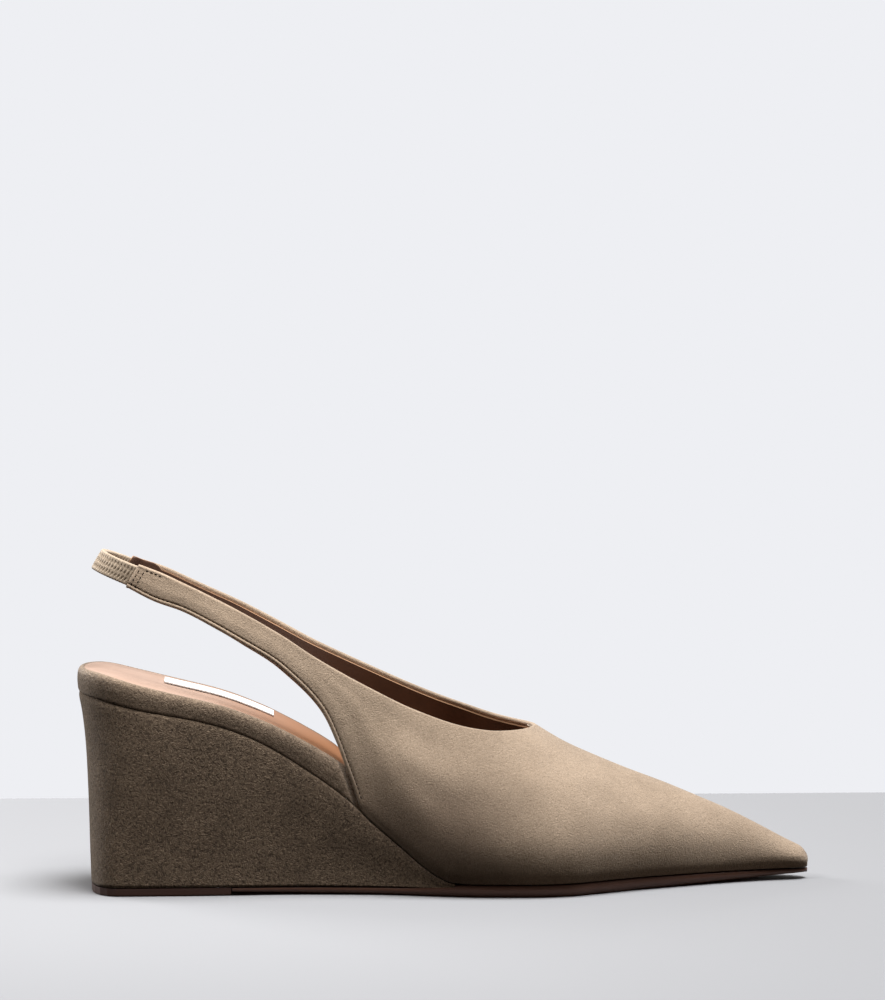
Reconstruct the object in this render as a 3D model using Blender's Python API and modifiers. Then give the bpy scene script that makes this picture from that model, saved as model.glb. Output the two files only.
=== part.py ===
"""A woman's right wedge pump: pointed suede slingback on a suede-covered wedge, size EU 38.

Metres, +Z up. +X points to the toe and +Y to the inner side of the foot. The origin is on the
floor, under the middle of the shoe's length.
"""

from collections import namedtuple
from math import cos, pi, radians, sin, sqrt

import bmesh
import bpy
from mathutils import Vector

# Driving dimensions of the last
LENGTH = 0.250            # heel's back to toe's tip
SEAT_WIDTH = 0.0556       # sole's width at the heel
BALL_WIDTH = 0.0715       # sole's width at the ball
HEEL_HEIGHT = 0.0672      # floor to the seam under the seat, at the heel's back
SOLE_HEIGHT = 0.0042      # floor to the seam round the forepart
INSTEP = 0.0498           # seam to the vamp's ridge, at the throat's tip
ARM_RISE = 0.0478         # seam to the top of the strap arms' ends
TOE_SWING = 0.0029        # how far the tip lies towards the inner side
HEEL_ROUND = 0.027        # length of the seat's rounded back
TOE_ROUND = 0.0060        # length of the rounded tip

# Sizes of the pieces
WALL = 0.0018             # suede upper with its lining
BULGE = 0.0016            # how far the upper swells past the sole's edge
BULGE_SPAN = 0.026        # height over which it swells
RIM = 0.0085              # height of the platform's rim at the heel
LIP = 0.0021              # width of the suede lip round the insole
INSOLE = 0.0012           # thickness of the insole
INSOLE_CROWN = 0.0008     # how far its middle rises
TOP_PIECE = 0.0027        # thickness of the wear layer under the heel
TOP_PIECE_LENGTH = 0.0475
HEEL_FOOT_BACK = 0.0045   # how far the heel's foot lies in front of the seat's back
HEEL_FOOT_INSET = 0.0014  # how far its sides lie inside the seam
HEEL_FOOT_ROUND = 0.012   # length of the foot's rounded back corners
WEDGE_FRONT = 0.1265      # heel's back to the wedge's front end
TOE_SPRING = 0.0022       # height of the sole's underside at the tip
TOE_SOLE = 0.0013         # thickness of the sole at the tip
WAIST_LIFT = 0.0012       # height of the sole's underside in front of the top piece
ELASTIC_WIDTH = 0.0074
ELASTIC = 0.0018          # thickness of the elastic band
ELASTIC_REACH = 0.0121    # from the arms' ends back to the middle of the band
ELASTIC_RISE = 0.0051     # how far the band climbs to its middle
PATCH_LENGTH = 0.037
PATCH_WIDTH = 0.015
PATCH = 0.0004            # thickness of the patch on the insole
PATCH_CENTRE = 0.048      # heel's back to the patch's middle
GAP = 0.0003              # clearance between pieces that touch

THROAT = 0.622            # place of the throat's tip, as a share of LENGTH
CORNER = 0.382            # place where the wing's rear edge meets the seam
STEP_IN = 0.0030          # length over which the platform steps inside the upper
BALL_START = 0.56         # where the full ball width is reached
WAIST_START = 0.24        # where the seat width ends

# Seam line, where the wedge or the sole meets what it carries: its height as a share of the
# drop from the heel's height to the sole's.
Seam = namedtuple("Seam", "along height")
SEAM = (
    Seam(0.000, 1.000),
    Seam(0.035, 0.974),
    Seam(0.086, 0.926),
    Seam(0.167, 0.864),
    Seam(0.207, 0.818),
    Seam(0.247, 0.750),
    Seam(0.309, 0.602),
    Seam(0.362, 0.451),
    Seam(0.393, 0.333),
    Seam(0.440, 0.173),
    Seam(0.464, 0.092),
    Seam(0.484, 0.038),
    Seam(0.505, 0.006),
    Seam(0.540, 0.000),
    Seam(1.000, 0.000),
)

# Plan of the seam line: distances from the axis to the outer and the inner side, as shares of
# the width there.
Plan = namedtuple("Plan", "along outer inner")
PLAN = (
    Plan(0.000, 0.500, 0.500),
    Plan(0.120, 0.500, 0.500),
    Plan(0.200, 0.495, 0.486),
    Plan(0.300, 0.470, 0.428),
    Plan(0.400, 0.466, 0.358),
    Plan(0.480, 0.496, 0.352),
    Plan(0.560, 0.531, 0.401),
    Plan(0.612, 0.541, 0.446),
    Plan(0.660, 0.516, 0.463),
    Plan(0.700, 0.448, 0.446),
    Plan(0.760, 0.338, 0.378),
    Plan(0.820, 0.245, 0.288),
    Plan(0.884, 0.150, 0.194),
    Plan(0.940, 0.083, 0.118),
    Plan(0.976, 0.055, 0.075),
    Plan(1.000, 0.040, 0.050),
)

# Ridge of the vamp above the seam, as shares of INSTEP. Behind the throat it is the line of the
# foot's instep, which shapes the sections but isn't covered.
Ridge = namedtuple("Ridge", "along height")
RIDGE = (
    Ridge(0.080, 1.730),
    Ridge(0.160, 1.566),
    Ridge(0.240, 1.440),
    Ridge(0.320, 1.400),
    Ridge(0.389, 1.416),
    Ridge(0.455, 1.430),
    Ridge(0.524, 1.330),
    Ridge(0.584, 1.125),
    Ridge(0.622, 1.000),
    Ridge(0.665, 0.870),
    Ridge(0.710, 0.767),
    Ridge(0.754, 0.676),
    Ridge(0.800, 0.590),
    Ridge(0.844, 0.500),
    Ridge(0.890, 0.402),
    Ridge(0.935, 0.290),
    Ridge(0.965, 0.210),
    Ridge(0.989, 0.150),
    Ridge(1.000, 0.120),
)

# Half the spread of the strap arms at the level of the seam, as shares of half the seat's width
Spread = namedtuple("Spread", "along half")
ARMS = (
    Spread(0.068, 0.522),
    Spread(0.108, 0.688),
    Spread(0.148, 0.850),
    Spread(0.188, 0.972),
    Spread(0.228, 1.044),
    Spread(0.268, 1.060),
    Spread(0.380, 1.030),
)

# Topline: shares of the rise from the throat to the arms' ends, on either side
Topline = namedtuple("Topline", "along outer inner")
TOPLINE = (
    Topline(0.0852, 1.000, 1.000),
    Topline(0.115, 0.953, 0.953),
    Topline(0.141, 0.903, 0.898),
    Topline(0.168, 0.849, 0.839),
    Topline(0.221, 0.733, 0.729),
    Topline(0.274, 0.597, 0.609),
    Topline(0.322, 0.453, 0.497),
    Topline(0.389, 0.283, 0.360),
    Topline(0.455, 0.138, 0.230),
    Topline(0.524, 0.032, 0.112),
    Topline(0.572, 0.000, 0.040),
    Topline(0.600, -0.003, 0.012),
    Topline(0.622, 0.000, 0.000),
)

# Lower edge of an arm and rear edge of its wing, from the arm's end to the corner on the seam:
# height as a share of the rise from the corner to the arms' ends, and the place of the topline
# point that lies across the strap from it.
Edge = namedtuple("Edge", "along height across")
REAR_EDGE = (
    Edge(0.0672, 0.906, 0.0852),
    Edge(0.104, 0.852, 0.123),
    Edge(0.144, 0.813, 0.164),
    Edge(0.184, 0.754, 0.206),
    Edge(0.224, 0.687, 0.248),
    Edge(0.2625, 0.617, 0.288),
    Edge(0.2890, 0.549, 0.321),
    Edge(0.3145, 0.471, 0.353),
    Edge(0.3330, 0.393, 0.379),
    Edge(0.3480, 0.290, 0.403),
    Edge(0.3595, 0.195, 0.421),
    Edge(0.3700, 0.107, 0.437),
    Edge(0.382, 0.000, 0.450),
)

# Top of the platform's rim above the seam, as shares of RIM
Rim = namedtuple("Rim", "along height")
RIM_TOP = (
    Rim(0.000, 0.920),
    Rim(0.035, 1.000),
    Rim(0.086, 0.950),
    Rim(0.167, 0.825),
    Rim(0.220, 0.840),
    Rim(0.270, 0.950),
    Rim(0.310, 1.080),
    Rim(0.360, 1.190),
    Rim(0.400, 1.080),
    Rim(0.450, 0.800),
    Rim(0.500, 0.540),
    Rim(0.550, 0.440),
    Rim(1.000, 0.400),
)

# Section of the platform's rim: height share and inset from the widest line
Level = namedtuple("Level", "height inset")
RIM_SECTION = (
    Level(0.00, 0.0011),
    Level(0.12, 0.0003),
    Level(0.45, 0.0000),
    Level(0.78, 0.0002),
    Level(0.94, 0.0008),
    Level(1.00, 0.0015),
)

# Heel: inset of the back line from the seat's back, as a share of HEEL_FOOT_BACK, by the height
# share from the wedge's foot to the seam; and a small inset where the cover turns in at the seam.
Heel = namedtuple("Heel", "height back turn")
HEEL = (
    Heel(0.00, 1.00, 0.0000),
    Heel(0.18, 0.91, 0.0000),
    Heel(0.42, 0.82, 0.0000),
    Heel(0.70, 0.64, 0.0000),
    Heel(0.88, 0.36, 0.0001),
    Heel(0.97, 0.10, 0.0004),
    Heel(1.00, 0.08, 0.0011),
)

# Underside of the outsole: height as a share of WAIST_LIFT behind the ball and of TOE_SPRING
# in front of it
Under = namedtuple("Under", "along lift")
WAIST_UNDER = (
    Under(0.200, 1.00),
    Under(0.300, 0.50),
    Under(0.400, 0.28),
    Under(0.500, 0.06),
    Under(0.540, 0.00),
)
TOE_UNDER = (
    Under(0.740, 0.00),
    Under(0.840, 0.23),
    Under(0.900, 0.42),
    Under(0.955, 0.72),
    Under(1.000, 1.00),
)

FAN_COLUMNS = 30             # columns of the upper from an arm's end to the wing's corner
WING_COLUMNS = 14            # from the corner to the throat
VAMP_COLUMNS = 17            # from the throat to the rounded tip
TIP_COLUMNS = 5
SIDE_ROWS = 11               # rows of the upper from edge to topline or ridge
ROUND_STEPS = 6              # stations round an end of a plate
PLATE_STEPS = 30             # stations along a plate between its ends
BAND_STEPS = 24              # stations round the elastic


def smoothstep(t):
    t = min(max(t, 0.0), 1.0)
    return t * t * (3 - 2 * t)


def slope_at(rows, column, i):
    """Slope of a table's curve at row i, kept from overshooting its neighbours."""
    def secant(a, b):
        return (getattr(b, column) - getattr(a, column)) / (b.along - a.along)

    if i == 0:
        return secant(rows[0], rows[1])
    if i == len(rows) - 1:
        return secant(rows[-2], rows[-1])
    before = secant(rows[i - 1], rows[i])
    after = secant(rows[i], rows[i + 1])
    if before * after <= 0:
        return 0.0
    return 2 * before * after / (before + after)


def read(rows, column, along):
    """A table's column at a share of the length, on a smooth curve through its rows."""
    if along <= rows[0].along:
        return getattr(rows[0], column)
    if along >= rows[-1].along:
        return getattr(rows[-1], column)
    i = max(k for k, row in enumerate(rows) if row.along <= along)
    a, b = rows[i], rows[i + 1]
    span = b.along - a.along
    t = (along - a.along) / span
    left, right = slope_at(rows, column, i) * span, slope_at(rows, column, i + 1) * span
    return (
        getattr(a, column) * (1 + 2 * t) * (1 - t) ** 2
        + left * t * (1 - t) ** 2
        + getattr(b, column) * t * t * (3 - 2 * t)
        + right * t * t * (t - 1)
    )


def row_point(rows, t):
    """A table's row at a fractional index, on a Catmull-Rom curve through its rows."""
    i = min(int(t), len(rows) - 2)
    f = t - i
    a, b, c, d = (rows[min(max(i + k, 0), len(rows) - 1)] for k in (-1, 0, 1, 2))
    return type(b)(*(
        0.5 * (2 * q + (r - p) * f + (2 * p - 5 * q + 4 * r - s) * f * f
               + (3 * q - p - 3 * r + s) * f ** 3)
        for p, q, r, s in zip(a, b, c, d)
    ))


def rounded(distance, length, power=2.3):
    """Width factor near a rounded end: 0 at the end, 1 from the given length inwards."""
    t = min(max(distance / length, 0.0), 1.0)
    return (1 - (1 - t) ** power) ** (1 / power)


def seam(x):
    """Height of the seam line at x, measured from the heel's back."""
    return SOLE_HEIGHT + (HEEL_HEIGHT - SOLE_HEIGHT) * read(SEAM, "height", x / LENGTH)


def axis(x):
    """Sideways place of the last's middle line, which swings inwards to the toe."""
    return TOE_SWING * smoothstep((x / LENGTH - WAIST_START) / (THROAT - WAIST_START))


def side_width(side, x):
    """Distance from the axis to the seam line, before its ends are rounded."""
    forward = smoothstep((x / LENGTH - WAIST_START) / (BALL_START - WAIST_START))
    width = SEAT_WIDTH + (BALL_WIDTH - SEAT_WIDTH) * forward
    return width * read(PLAN, side, x / LENGTH)


def edge(side, x):
    """Distance from the axis to the seam line, 0 at the heel's back and the toe's tip."""
    return side_width(side, x) * rounded(x, HEEL_ROUND) * rounded(LENGTH - x, TOE_ROUND)


def inset_edge(side, x, inset):
    """The seam line moved inwards by inset, square to itself."""
    if inset <= 0:
        return edge(side, x)
    turns = [radians(a) for a in range(-84, 85, 12)]
    return min(edge(side, x + inset * sin(a)) - inset * cos(a) for a in turns)


def tip_of(inset):
    """Where a plate that lies inset from the seam line ends in the toe."""
    low, high = LENGTH * THROAT, LENGTH
    for _ in range(40):
        middle = (low + high) / 2
        if min(inset_edge("outer", middle, inset), inset_edge("inner", middle, inset)) > 0:
            low = middle
        else:
            high = middle
    return low


def stations(start, start_round, end, end_round):
    """Places along a plate, closer together round its ends."""
    turn = [pi / 2 * k / ROUND_STEPS for k in range(ROUND_STEPS)]
    places = [start + start_round * (1 - cos(a)) for a in turn]
    run = end - end_round - start - start_round
    places += [start + start_round + run * k / PLATE_STEPS for k in range(PLATE_STEPS + 1)]
    return places + [end - end_round * (1 - cos(a)) for a in reversed(turn)]


def world(x, y, z):
    return Vector((x - LENGTH / 2, y, z))


def ring(places, width, height):
    """One level of a plate: its outer side from back to front, then its inner side back.

    width(side, x) is measured from the axis, and height(x) from the floor.
    """
    first, *middle, last = places
    points = [world(first, axis(first), height(first))]
    points += [world(x, axis(x) - width("outer", x), height(x)) for x in middle]
    points += [world(last, axis(last), height(last))]
    points += [world(x, axis(x) + width("inner", x), height(x)) for x in reversed(middle)]
    return points


def finish(name, bm, colour, roughness):
    """Put a mesh in the shoe's collection, with its material and smooth shading."""
    mesh = bpy.data.meshes.new(name)
    bm.to_mesh(mesh)
    bm.free()
    mesh.shade_smooth()
    mesh.set_sharp_from_angle(angle=radians(40))
    piece = bpy.data.objects.new(name, mesh)
    bpy.data.collections["wedge_pump"].objects.link(piece)
    material = bpy.data.materials.new(name)
    material.use_nodes = True
    shader = material.node_tree.nodes["Principled BSDF"]
    shader.inputs["Base Color"].default_value = (*colour, 1)
    shader.inputs["Roughness"].default_value = roughness
    shader.inputs["Metallic"].default_value = 0
    mesh.materials.append(material)
    return piece


def plate(name, rings, colour, roughness):
    """Loft a closed plate through rings, from its underside to its top."""
    bm = bmesh.new()
    levels = [[bm.verts.new(p) for p in points] for points in rings]
    count = len(levels[0])
    for below, above in zip(levels, levels[1:]):
        for i in range(count):
            j = (i + 1) % count
            bm.faces.new((below[i], below[j], above[j], above[i]))
    half = count // 2
    for level, upwards in ((levels[0], False), (levels[-1], True)):
        for i in range(half):
            a, b = level[i], level[i + 1]
            c, d = level[(count - i - 1) % count], level[(count - i) % count]
            corners = [a, b, c, d]
            face = [v for k, v in enumerate(corners) if v not in corners[:k]]
            bm.faces.new(face if upwards else list(reversed(face)))
    bmesh.ops.recalc_face_normals(bm, faces=bm.faces[:])
    return finish(name, bm, colour, roughness)


def outsole_under(x):
    """Height of the outsole's underside: raised at the waist, flat at the ball, up at the toe."""
    share = x / LENGTH
    return (WAIST_LIFT * read(WAIST_UNDER, "lift", share)
            + TOE_SPRING * read(TOE_UNDER, "lift", share))


def wedge_foot():
    """Height of the wedge's flat underside."""
    return TOP_PIECE + GAP


def outsole_top(x):
    """Just under the wedge, then up to the seam in front of it, and thin at the tip."""
    step = smoothstep((x - WEDGE_FRONT - GAP) / 0.005)
    forepart = SOLE_HEIGHT - GAP / 2
    level = TOP_PIECE + (forepart - TOP_PIECE) * step
    thin = TOE_SPRING + TOE_SOLE - forepart
    return level + thin * smoothstep((x / LENGTH - 0.74) / 0.26)


def seam_floor(x):
    """The seam line, lowered a little towards the tip with the thinning sole."""
    drop = outsole_top(x) - (SOLE_HEIGHT - GAP / 2)
    return seam(x) + (drop if x > WEDGE_FRONT + 0.01 else 0.0)


def foot_edge(side, x):
    """Plan of the heel's foot and of the sole's waist, squarer at the back than the seat."""
    back = x - HEEL_FOOT_BACK
    forward = smoothstep((x / LENGTH - CORNER) / (BALL_START - CORNER))
    inset = HEEL_FOOT_INSET * (1 - forward)
    side_line = side_width(side, x) * rounded(LENGTH - x, TOE_ROUND) - inset
    return side_line * rounded(back, HEEL_FOOT_ROUND, 2.8)


def build_outsole():
    start = HEEL_FOOT_BACK + TOP_PIECE_LENGTH + GAP
    places = stations(start, 0.004, LENGTH, TOE_ROUND)

    def level(inset, rise):
        """A ring, rise of the way from the underside to the top, inset at its sides."""
        def width(side, x):
            return max(foot_edge(side, x) - inset * rounded(LENGTH - x, TOE_ROUND), 0.0)

        def height(x):
            low = outsole_under(x)
            return low + (outsole_top(x) - low) * rise
        return square_back(places, width, height, start)

    rings = [level(0.0030, 0.0), level(0.0012, 0.06), level(0.0003, 0.26),
             level(0.0001, 0.62), level(0.0003, 1.0)]
    return plate("outsole", rings, (0.16, 0.065, 0.03), 0.45)


def square_back(places, width, height, start):
    """A ring whose back end is a straight edge across the shoe instead of a point."""
    points = ring(places, width, height)
    points[0] = world(start, axis(start), height(start))
    count = len(places)
    for k in range(1, ROUND_STEPS):
        share = k / ROUND_STEPS
        points[k] = world(start, axis(start) - width("outer", start) * share, height(start))
        points[-k] = world(start, axis(start) + width("inner", start) * share, height(start))
    points[ROUND_STEPS] = world(start, axis(start) - width("outer", start), height(start))
    points[2 * count - 2 - ROUND_STEPS] = world(start, axis(start) + width("inner", start),
                                                height(start))
    return points


def square_front(places, width, height, end):
    """A ring whose front end is a straight edge across the shoe instead of a point."""
    points = ring(places, width, height)
    count = len(places)
    tip = count - 1
    points[tip] = world(end, axis(end), height(end))
    for k in range(1, ROUND_STEPS + 1):
        share = k / ROUND_STEPS
        points[tip - k] = world(end, axis(end) - width("outer", end) * share, height(end))
        points[tip + k] = world(end, axis(end) + width("inner", end) * share, height(end))
    return points


def build_top_piece():
    end = HEEL_FOOT_BACK + TOP_PIECE_LENGTH

    def level(inset, z):
        start = HEEL_FOOT_BACK + inset
        places = stations(start, HEEL_FOOT_ROUND, end - inset, 0.004)
        return square_front(places, lambda side, x: max(foot_edge(side, x) - inset, 0.0),
                            lambda x: z, end - inset)

    rings = [level(0.0006, 0.0), level(0.0001, 0.0006), level(0.0, TOP_PIECE)]
    return plate("top_piece", rings, (0.13, 0.055, 0.028), 0.55)


def build_wedge():
    foot = wedge_foot()

    def level(row):
        back = HEEL_FOOT_BACK * row.back + row.turn
        round_length = HEEL_FOOT_ROUND + (HEEL_ROUND - HEEL_FOOT_ROUND) * row.height
        power = 2.8 + (2.3 - 2.8) * row.height
        places = stations(back, round_length, WEDGE_FRONT, 0.004)

        def width(side, x):
            at_seam = side_width(side, x)
            at_foot = at_seam - HEEL_FOOT_INSET * (1 - smoothstep(
                (x / LENGTH - CORNER) / (BALL_START - CORNER)))
            across = at_foot + (at_seam - at_foot) * smoothstep(row.height) - row.turn
            return across * rounded(x - back, round_length, power)

        def height(x):
            return foot + (seam(x) - GAP / 2 - foot) * row.height
        return square_front(places, width, height, WEDGE_FRONT)

    return plate("wedge", [level(row) for row in HEEL], (0.115, 0.085, 0.06), 0.95)


def step_in(share):
    """Where the platform starts to step inside the upper, at a share of the rim's height."""
    return LENGTH * (CORNER - 0.020 * share) - STEP_IN - 2 * GAP


def cover(x, share):
    """How far the platform has stepped inside the upper, at a share of the rim's height."""
    return smoothstep((x - step_in(share)) / STEP_IN)


def rim_top(x):
    return seam_floor(x) + GAP / 2 + RIM * read(RIM_TOP, "height", x / LENGTH)


def platform_ring(height_share, inset, drop=0.0):
    """A level of the platform; drop lowers it, for the bed of the insole."""
    clearance = WALL + 2 * GAP
    tip = tip_of(clearance + inset)
    places = stations(inset, HEEL_ROUND, tip, TOE_ROUND)
    at_step = sum(1 for x in stations(0, HEEL_ROUND, LENGTH, TOE_ROUND)
                  if x < LENGTH * CORNER - 3 * STEP_IN)
    places[at_step:at_step + 2] = [step_in(height_share), step_in(height_share) + STEP_IN]

    def width(side, x):
        return max(inset_edge(side, x, inset + clearance * cover(x, height_share)), 0.0)

    def height(x):
        low = seam_floor(x) + GAP / 2
        return low + (rim_top(x) - low) * height_share - drop
    return ring(places, width, height)


def build_platform():
    rings = [platform_ring(row.height, row.inset) for row in RIM_SECTION]
    rings.append(platform_ring(1.0, LIP))
    rings.append(platform_ring(1.0, LIP + 0.0001, INSOLE + GAP))
    return plate("platform", rings, (0.30, 0.235, 0.165), 0.95)


def build_insole():
    """The insole lies in the platform's bed, its top level with the lip and a little crowned."""
    clear = LIP + GAP + 0.0001

    def level(inset, rise):
        return platform_ring(1.0, clear + inset, -rise)

    rings = [level(0.0, -INSOLE), level(0.0, -INSOLE * 0.35), level(0.0005, 0.0),
             level(0.0060, INSOLE_CROWN * 0.6), level(0.0130, INSOLE_CROWN)]
    return plate("insole", rings, (0.42, 0.24, 0.14), 0.4)


def build_label_patch():
    """A thin bare patch on the insole, following its slope."""
    steps = 6
    low = INSOLE_CROWN + GAP
    bm = bmesh.new()
    layers = []
    for rise in (low, low + PATCH):
        layer = []
        for k in range(steps + 1):
            x = PATCH_CENTRE + PATCH_LENGTH * (k / steps - 0.5)
            layer.append([bm.verts.new(world(x, side * PATCH_WIDTH / 2, rim_top(x) + rise))
                          for side in (-1, 1)])
        layers.append(layer)
    below, above = layers
    for k in range(steps):
        bm.faces.new((above[k][0], above[k + 1][0], above[k + 1][1], above[k][1]))
        bm.faces.new((below[k][1], below[k + 1][1], below[k + 1][0], below[k][0]))
        bm.faces.new((below[k][0], below[k + 1][0], above[k + 1][0], above[k][0]))
        bm.faces.new((below[k + 1][1], below[k][1], above[k][1], above[k + 1][1]))
    bm.faces.new((below[0][1], below[0][0], above[0][0], above[0][1]))
    bm.faces.new((below[-1][0], below[-1][1], above[-1][1], above[-1][0]))
    return finish("label_patch", bm, (0.8, 0.79, 0.77), 0.7)


def last_width(side, x):
    """Half width of the upper's sections at the seam: the sole's plan, and the arms behind it."""
    sole = side_width(side, x) * rounded(LENGTH - x, TOE_ROUND)
    arm = SEAT_WIDTH / 2 * read(ARMS, "half", x / LENGTH)
    return arm + (sole - arm) * smoothstep((x / LENGTH - 0.22) / 0.13)


def ridge(x):
    """Height of the ridge above the seam, falling away at the tip."""
    nose = 0.45 + 0.55 * rounded(LENGTH - x, TOE_ROUND / 2, 2)
    return INSTEP * read(RIDGE, "height", x / LENGTH) * nose


def upper_point(side, x, z):
    """Point of the upper's outer face at x and height z."""
    base = seam_floor(x) + GAP / 2
    full = ridge(x)
    share = min(max((z - base) / full, 0.0), 1.0)
    reach = last_width(side, x) * sqrt(1 - share * share)
    span = min(BULGE_SPAN, full)
    forward = smoothstep((x / LENGTH - CORNER) / 0.12) * rounded(LENGTH - x, TOE_ROUND)
    reach += BULGE * forward * sin(pi * min(max((z - base) / span, 0.0), 1.0))
    y = axis(x) + (reach if side == "inner" else -reach)
    return world(x, y, z)


def throat_height():
    x = THROAT * LENGTH
    return seam_floor(x) + GAP / 2 + ridge(x)


def arm_top():
    """Height of the upper corner of the arms' ends."""
    return seam(TOPLINE[0].along * LENGTH) + ARM_RISE


def topline(side, x):
    low = throat_height()
    return low + (arm_top() - low) * read(TOPLINE, side, x / LENGTH)


def corner_height():
    return seam_floor(CORNER * LENGTH) + GAP / 2


def edge_columns():
    """Lower and upper end of each column of the open part, as x, z and x."""
    columns = []
    for k in range(FAN_COLUMNS + 1):
        row = row_point(REAR_EDGE, (len(REAR_EDGE) - 1) * k / FAN_COLUMNS)
        z = corner_height() + (arm_top() - corner_height()) * row.height
        columns.append((row.along * LENGTH, z, row.across * LENGTH))
    first, last = REAR_EDGE[-1], THROAT * LENGTH
    for k in range(1, WING_COLUMNS):
        t = k / WING_COLUMNS
        low = CORNER * LENGTH + (last - CORNER * LENGTH) * t
        high = first.across * LENGTH + (last - first.across * LENGTH) * (1 - (1 - t) ** 2)
        low = low + (high - low) * t ** 3
        columns.append((low, seam_floor(low) + GAP / 2, high))
    return columns


def side_column(side, low_x, low_z, high_x, high_z):
    """Points across the upper's side, spaced as on its rounded section."""
    base = seam_floor(high_x) + GAP / 2
    share = min(max((high_z - base) / ridge(high_x), 0.0), 1.0)
    turn = pi / 2 if share > 0.9999 else pi / 2 - sqrt(2 * (1 - share))
    points = []
    for k in range(SIDE_ROWS + 1):
        t = k / SIDE_ROWS
        x = low_x + (high_x - low_x) * t
        z = low_z + (high_z - low_z) * sin(turn * t) / sin(turn)
        points.append(upper_point(side, x, z))
    return points


def build_upper():
    """Vamp, wings and strap arms as one open sheet, thickened inwards to its wall."""
    bm = bmesh.new()
    grids = {}
    for side in ("outer", "inner"):
        columns = [side_column(side, low_x, low_z, high_x, topline(side, high_x))
                   for low_x, low_z, high_x in edge_columns()]
        throat = THROAT * LENGTH
        run = LENGTH - TOE_ROUND - throat
        places = [throat + run * k / VAMP_COLUMNS for k in range(VAMP_COLUMNS + 1)]
        places += [LENGTH - TOE_ROUND * (1 - sin(pi / 2 * k / TIP_COLUMNS))
                   for k in range(1, TIP_COLUMNS + 1)]
        for x in places:
            base = seam_floor(x) + GAP / 2
            columns.append(side_column(side, x, base, x, base + ridge(x)))
        grids[side] = [[bm.verts.new(p) for p in column] for column in columns]
    for side, columns in grids.items():
        for left, right in zip(columns, columns[1:]):
            for k in range(SIDE_ROWS):
                face = (left[k], right[k], right[k + 1], left[k + 1])
                bm.faces.new(face if side == "outer" else tuple(reversed(face)))
    bmesh.ops.remove_doubles(bm, verts=bm.verts[:], dist=1e-6)
    upper = finish("upper", bm, (0.40, 0.315, 0.225), 0.95)
    wall = upper.modifiers.new("wall", "SOLIDIFY")
    wall.thickness = WALL
    wall.offset = -1
    wall.use_even_offset = True
    return upper


def build_elastic_strap():
    """The band behind the heel, from one arm's end to the other, leaning as the arms' ends do."""
    low_x = REAR_EDGE[0].along * LENGTH
    high_x = REAR_EDGE[0].across * LENGTH
    low_z = corner_height() + (arm_top() - corner_height()) * REAR_EDGE[0].height
    low = upper_point("outer", low_x, low_z)
    high = upper_point("outer", high_x, arm_top())
    middle = (low + high) / 2
    across = (high - low).normalized()
    bm = bmesh.new()
    columns = []
    for k in range(BAND_STEPS + 1):
        turn = -pi / 2 + pi * k / BAND_STEPS
        back = cos(turn)
        centre = Vector((middle.x - 1.5 * GAP - ELASTIC_REACH * back, -middle.y * sin(turn),
                         middle.z + ELASTIC_RISE * back))
        lean = Vector((across.x, -across.y * sin(turn), across.z)).normalized()
        columns.append([bm.verts.new(centre + lean * ELASTIC_WIDTH * share)
                        for share in (-0.5, -0.17, 0.17, 0.5)])
    for left, right in zip(columns, columns[1:]):
        for k in range(3):
            bm.faces.new((left[k], left[k + 1], right[k + 1], right[k]))
    band = finish("elastic_strap", bm, (0.42, 0.34, 0.25), 0.95)
    depth = band.modifiers.new("depth", "SOLIDIFY")
    depth.thickness = ELASTIC
    depth.offset = -1
    depth.use_even_offset = True
    return band


def main():
    for thing in list(bpy.data.objects):
        bpy.data.objects.remove(thing)
    shoe = bpy.data.collections.new("wedge_pump")
    bpy.context.scene.collection.children.link(shoe)
    build_top_piece()
    build_outsole()
    build_wedge()
    build_platform()
    build_insole()
    build_label_patch()
    build_upper()
    build_elastic_strap()


main()
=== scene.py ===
"""Looks of a woman's right wedge pump: pointed suede slingback on a suede-covered wedge.

Metres, +Z up, +X to the toe, +Y to the inner side of the foot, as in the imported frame.
"""

from collections import namedtuple
from math import cos, pi, radians, sin, sqrt

import bpy
import numpy as np
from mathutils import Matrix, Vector

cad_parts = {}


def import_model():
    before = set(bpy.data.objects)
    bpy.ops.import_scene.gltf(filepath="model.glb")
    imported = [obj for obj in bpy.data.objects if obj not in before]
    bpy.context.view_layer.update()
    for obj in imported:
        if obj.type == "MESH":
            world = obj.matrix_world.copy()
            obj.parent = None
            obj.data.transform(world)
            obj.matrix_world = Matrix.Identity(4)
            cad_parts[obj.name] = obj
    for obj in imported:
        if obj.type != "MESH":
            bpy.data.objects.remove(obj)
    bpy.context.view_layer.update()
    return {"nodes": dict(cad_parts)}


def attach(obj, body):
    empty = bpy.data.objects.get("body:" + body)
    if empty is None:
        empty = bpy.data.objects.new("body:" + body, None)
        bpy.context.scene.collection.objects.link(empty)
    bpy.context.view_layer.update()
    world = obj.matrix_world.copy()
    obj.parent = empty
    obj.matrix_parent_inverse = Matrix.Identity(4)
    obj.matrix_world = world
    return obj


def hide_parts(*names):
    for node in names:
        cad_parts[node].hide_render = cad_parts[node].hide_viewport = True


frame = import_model()

# Driving dimensions of the last
LENGTH = 0.250            # heel's back to toe's tip
SEAT_WIDTH = 0.0556       # sole's width at the heel
BALL_WIDTH = 0.0715       # sole's width at the ball
HEEL_HEIGHT = 0.0672      # floor to the seam under the seat, at the heel's back
SOLE_HEIGHT = 0.0042      # floor to the seam round the forepart
INSTEP = 0.0498           # seam to the vamp's ridge, at the throat's tip
ARM_RISE = 0.0478         # seam to the top of the strap arms' ends
TOE_SWING = 0.0029        # how far the tip lies towards the inner side
HEEL_ROUND = 0.027        # length of the seat's rounded back
TOE_ROUND = 0.0060        # length of the rounded tip

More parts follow.
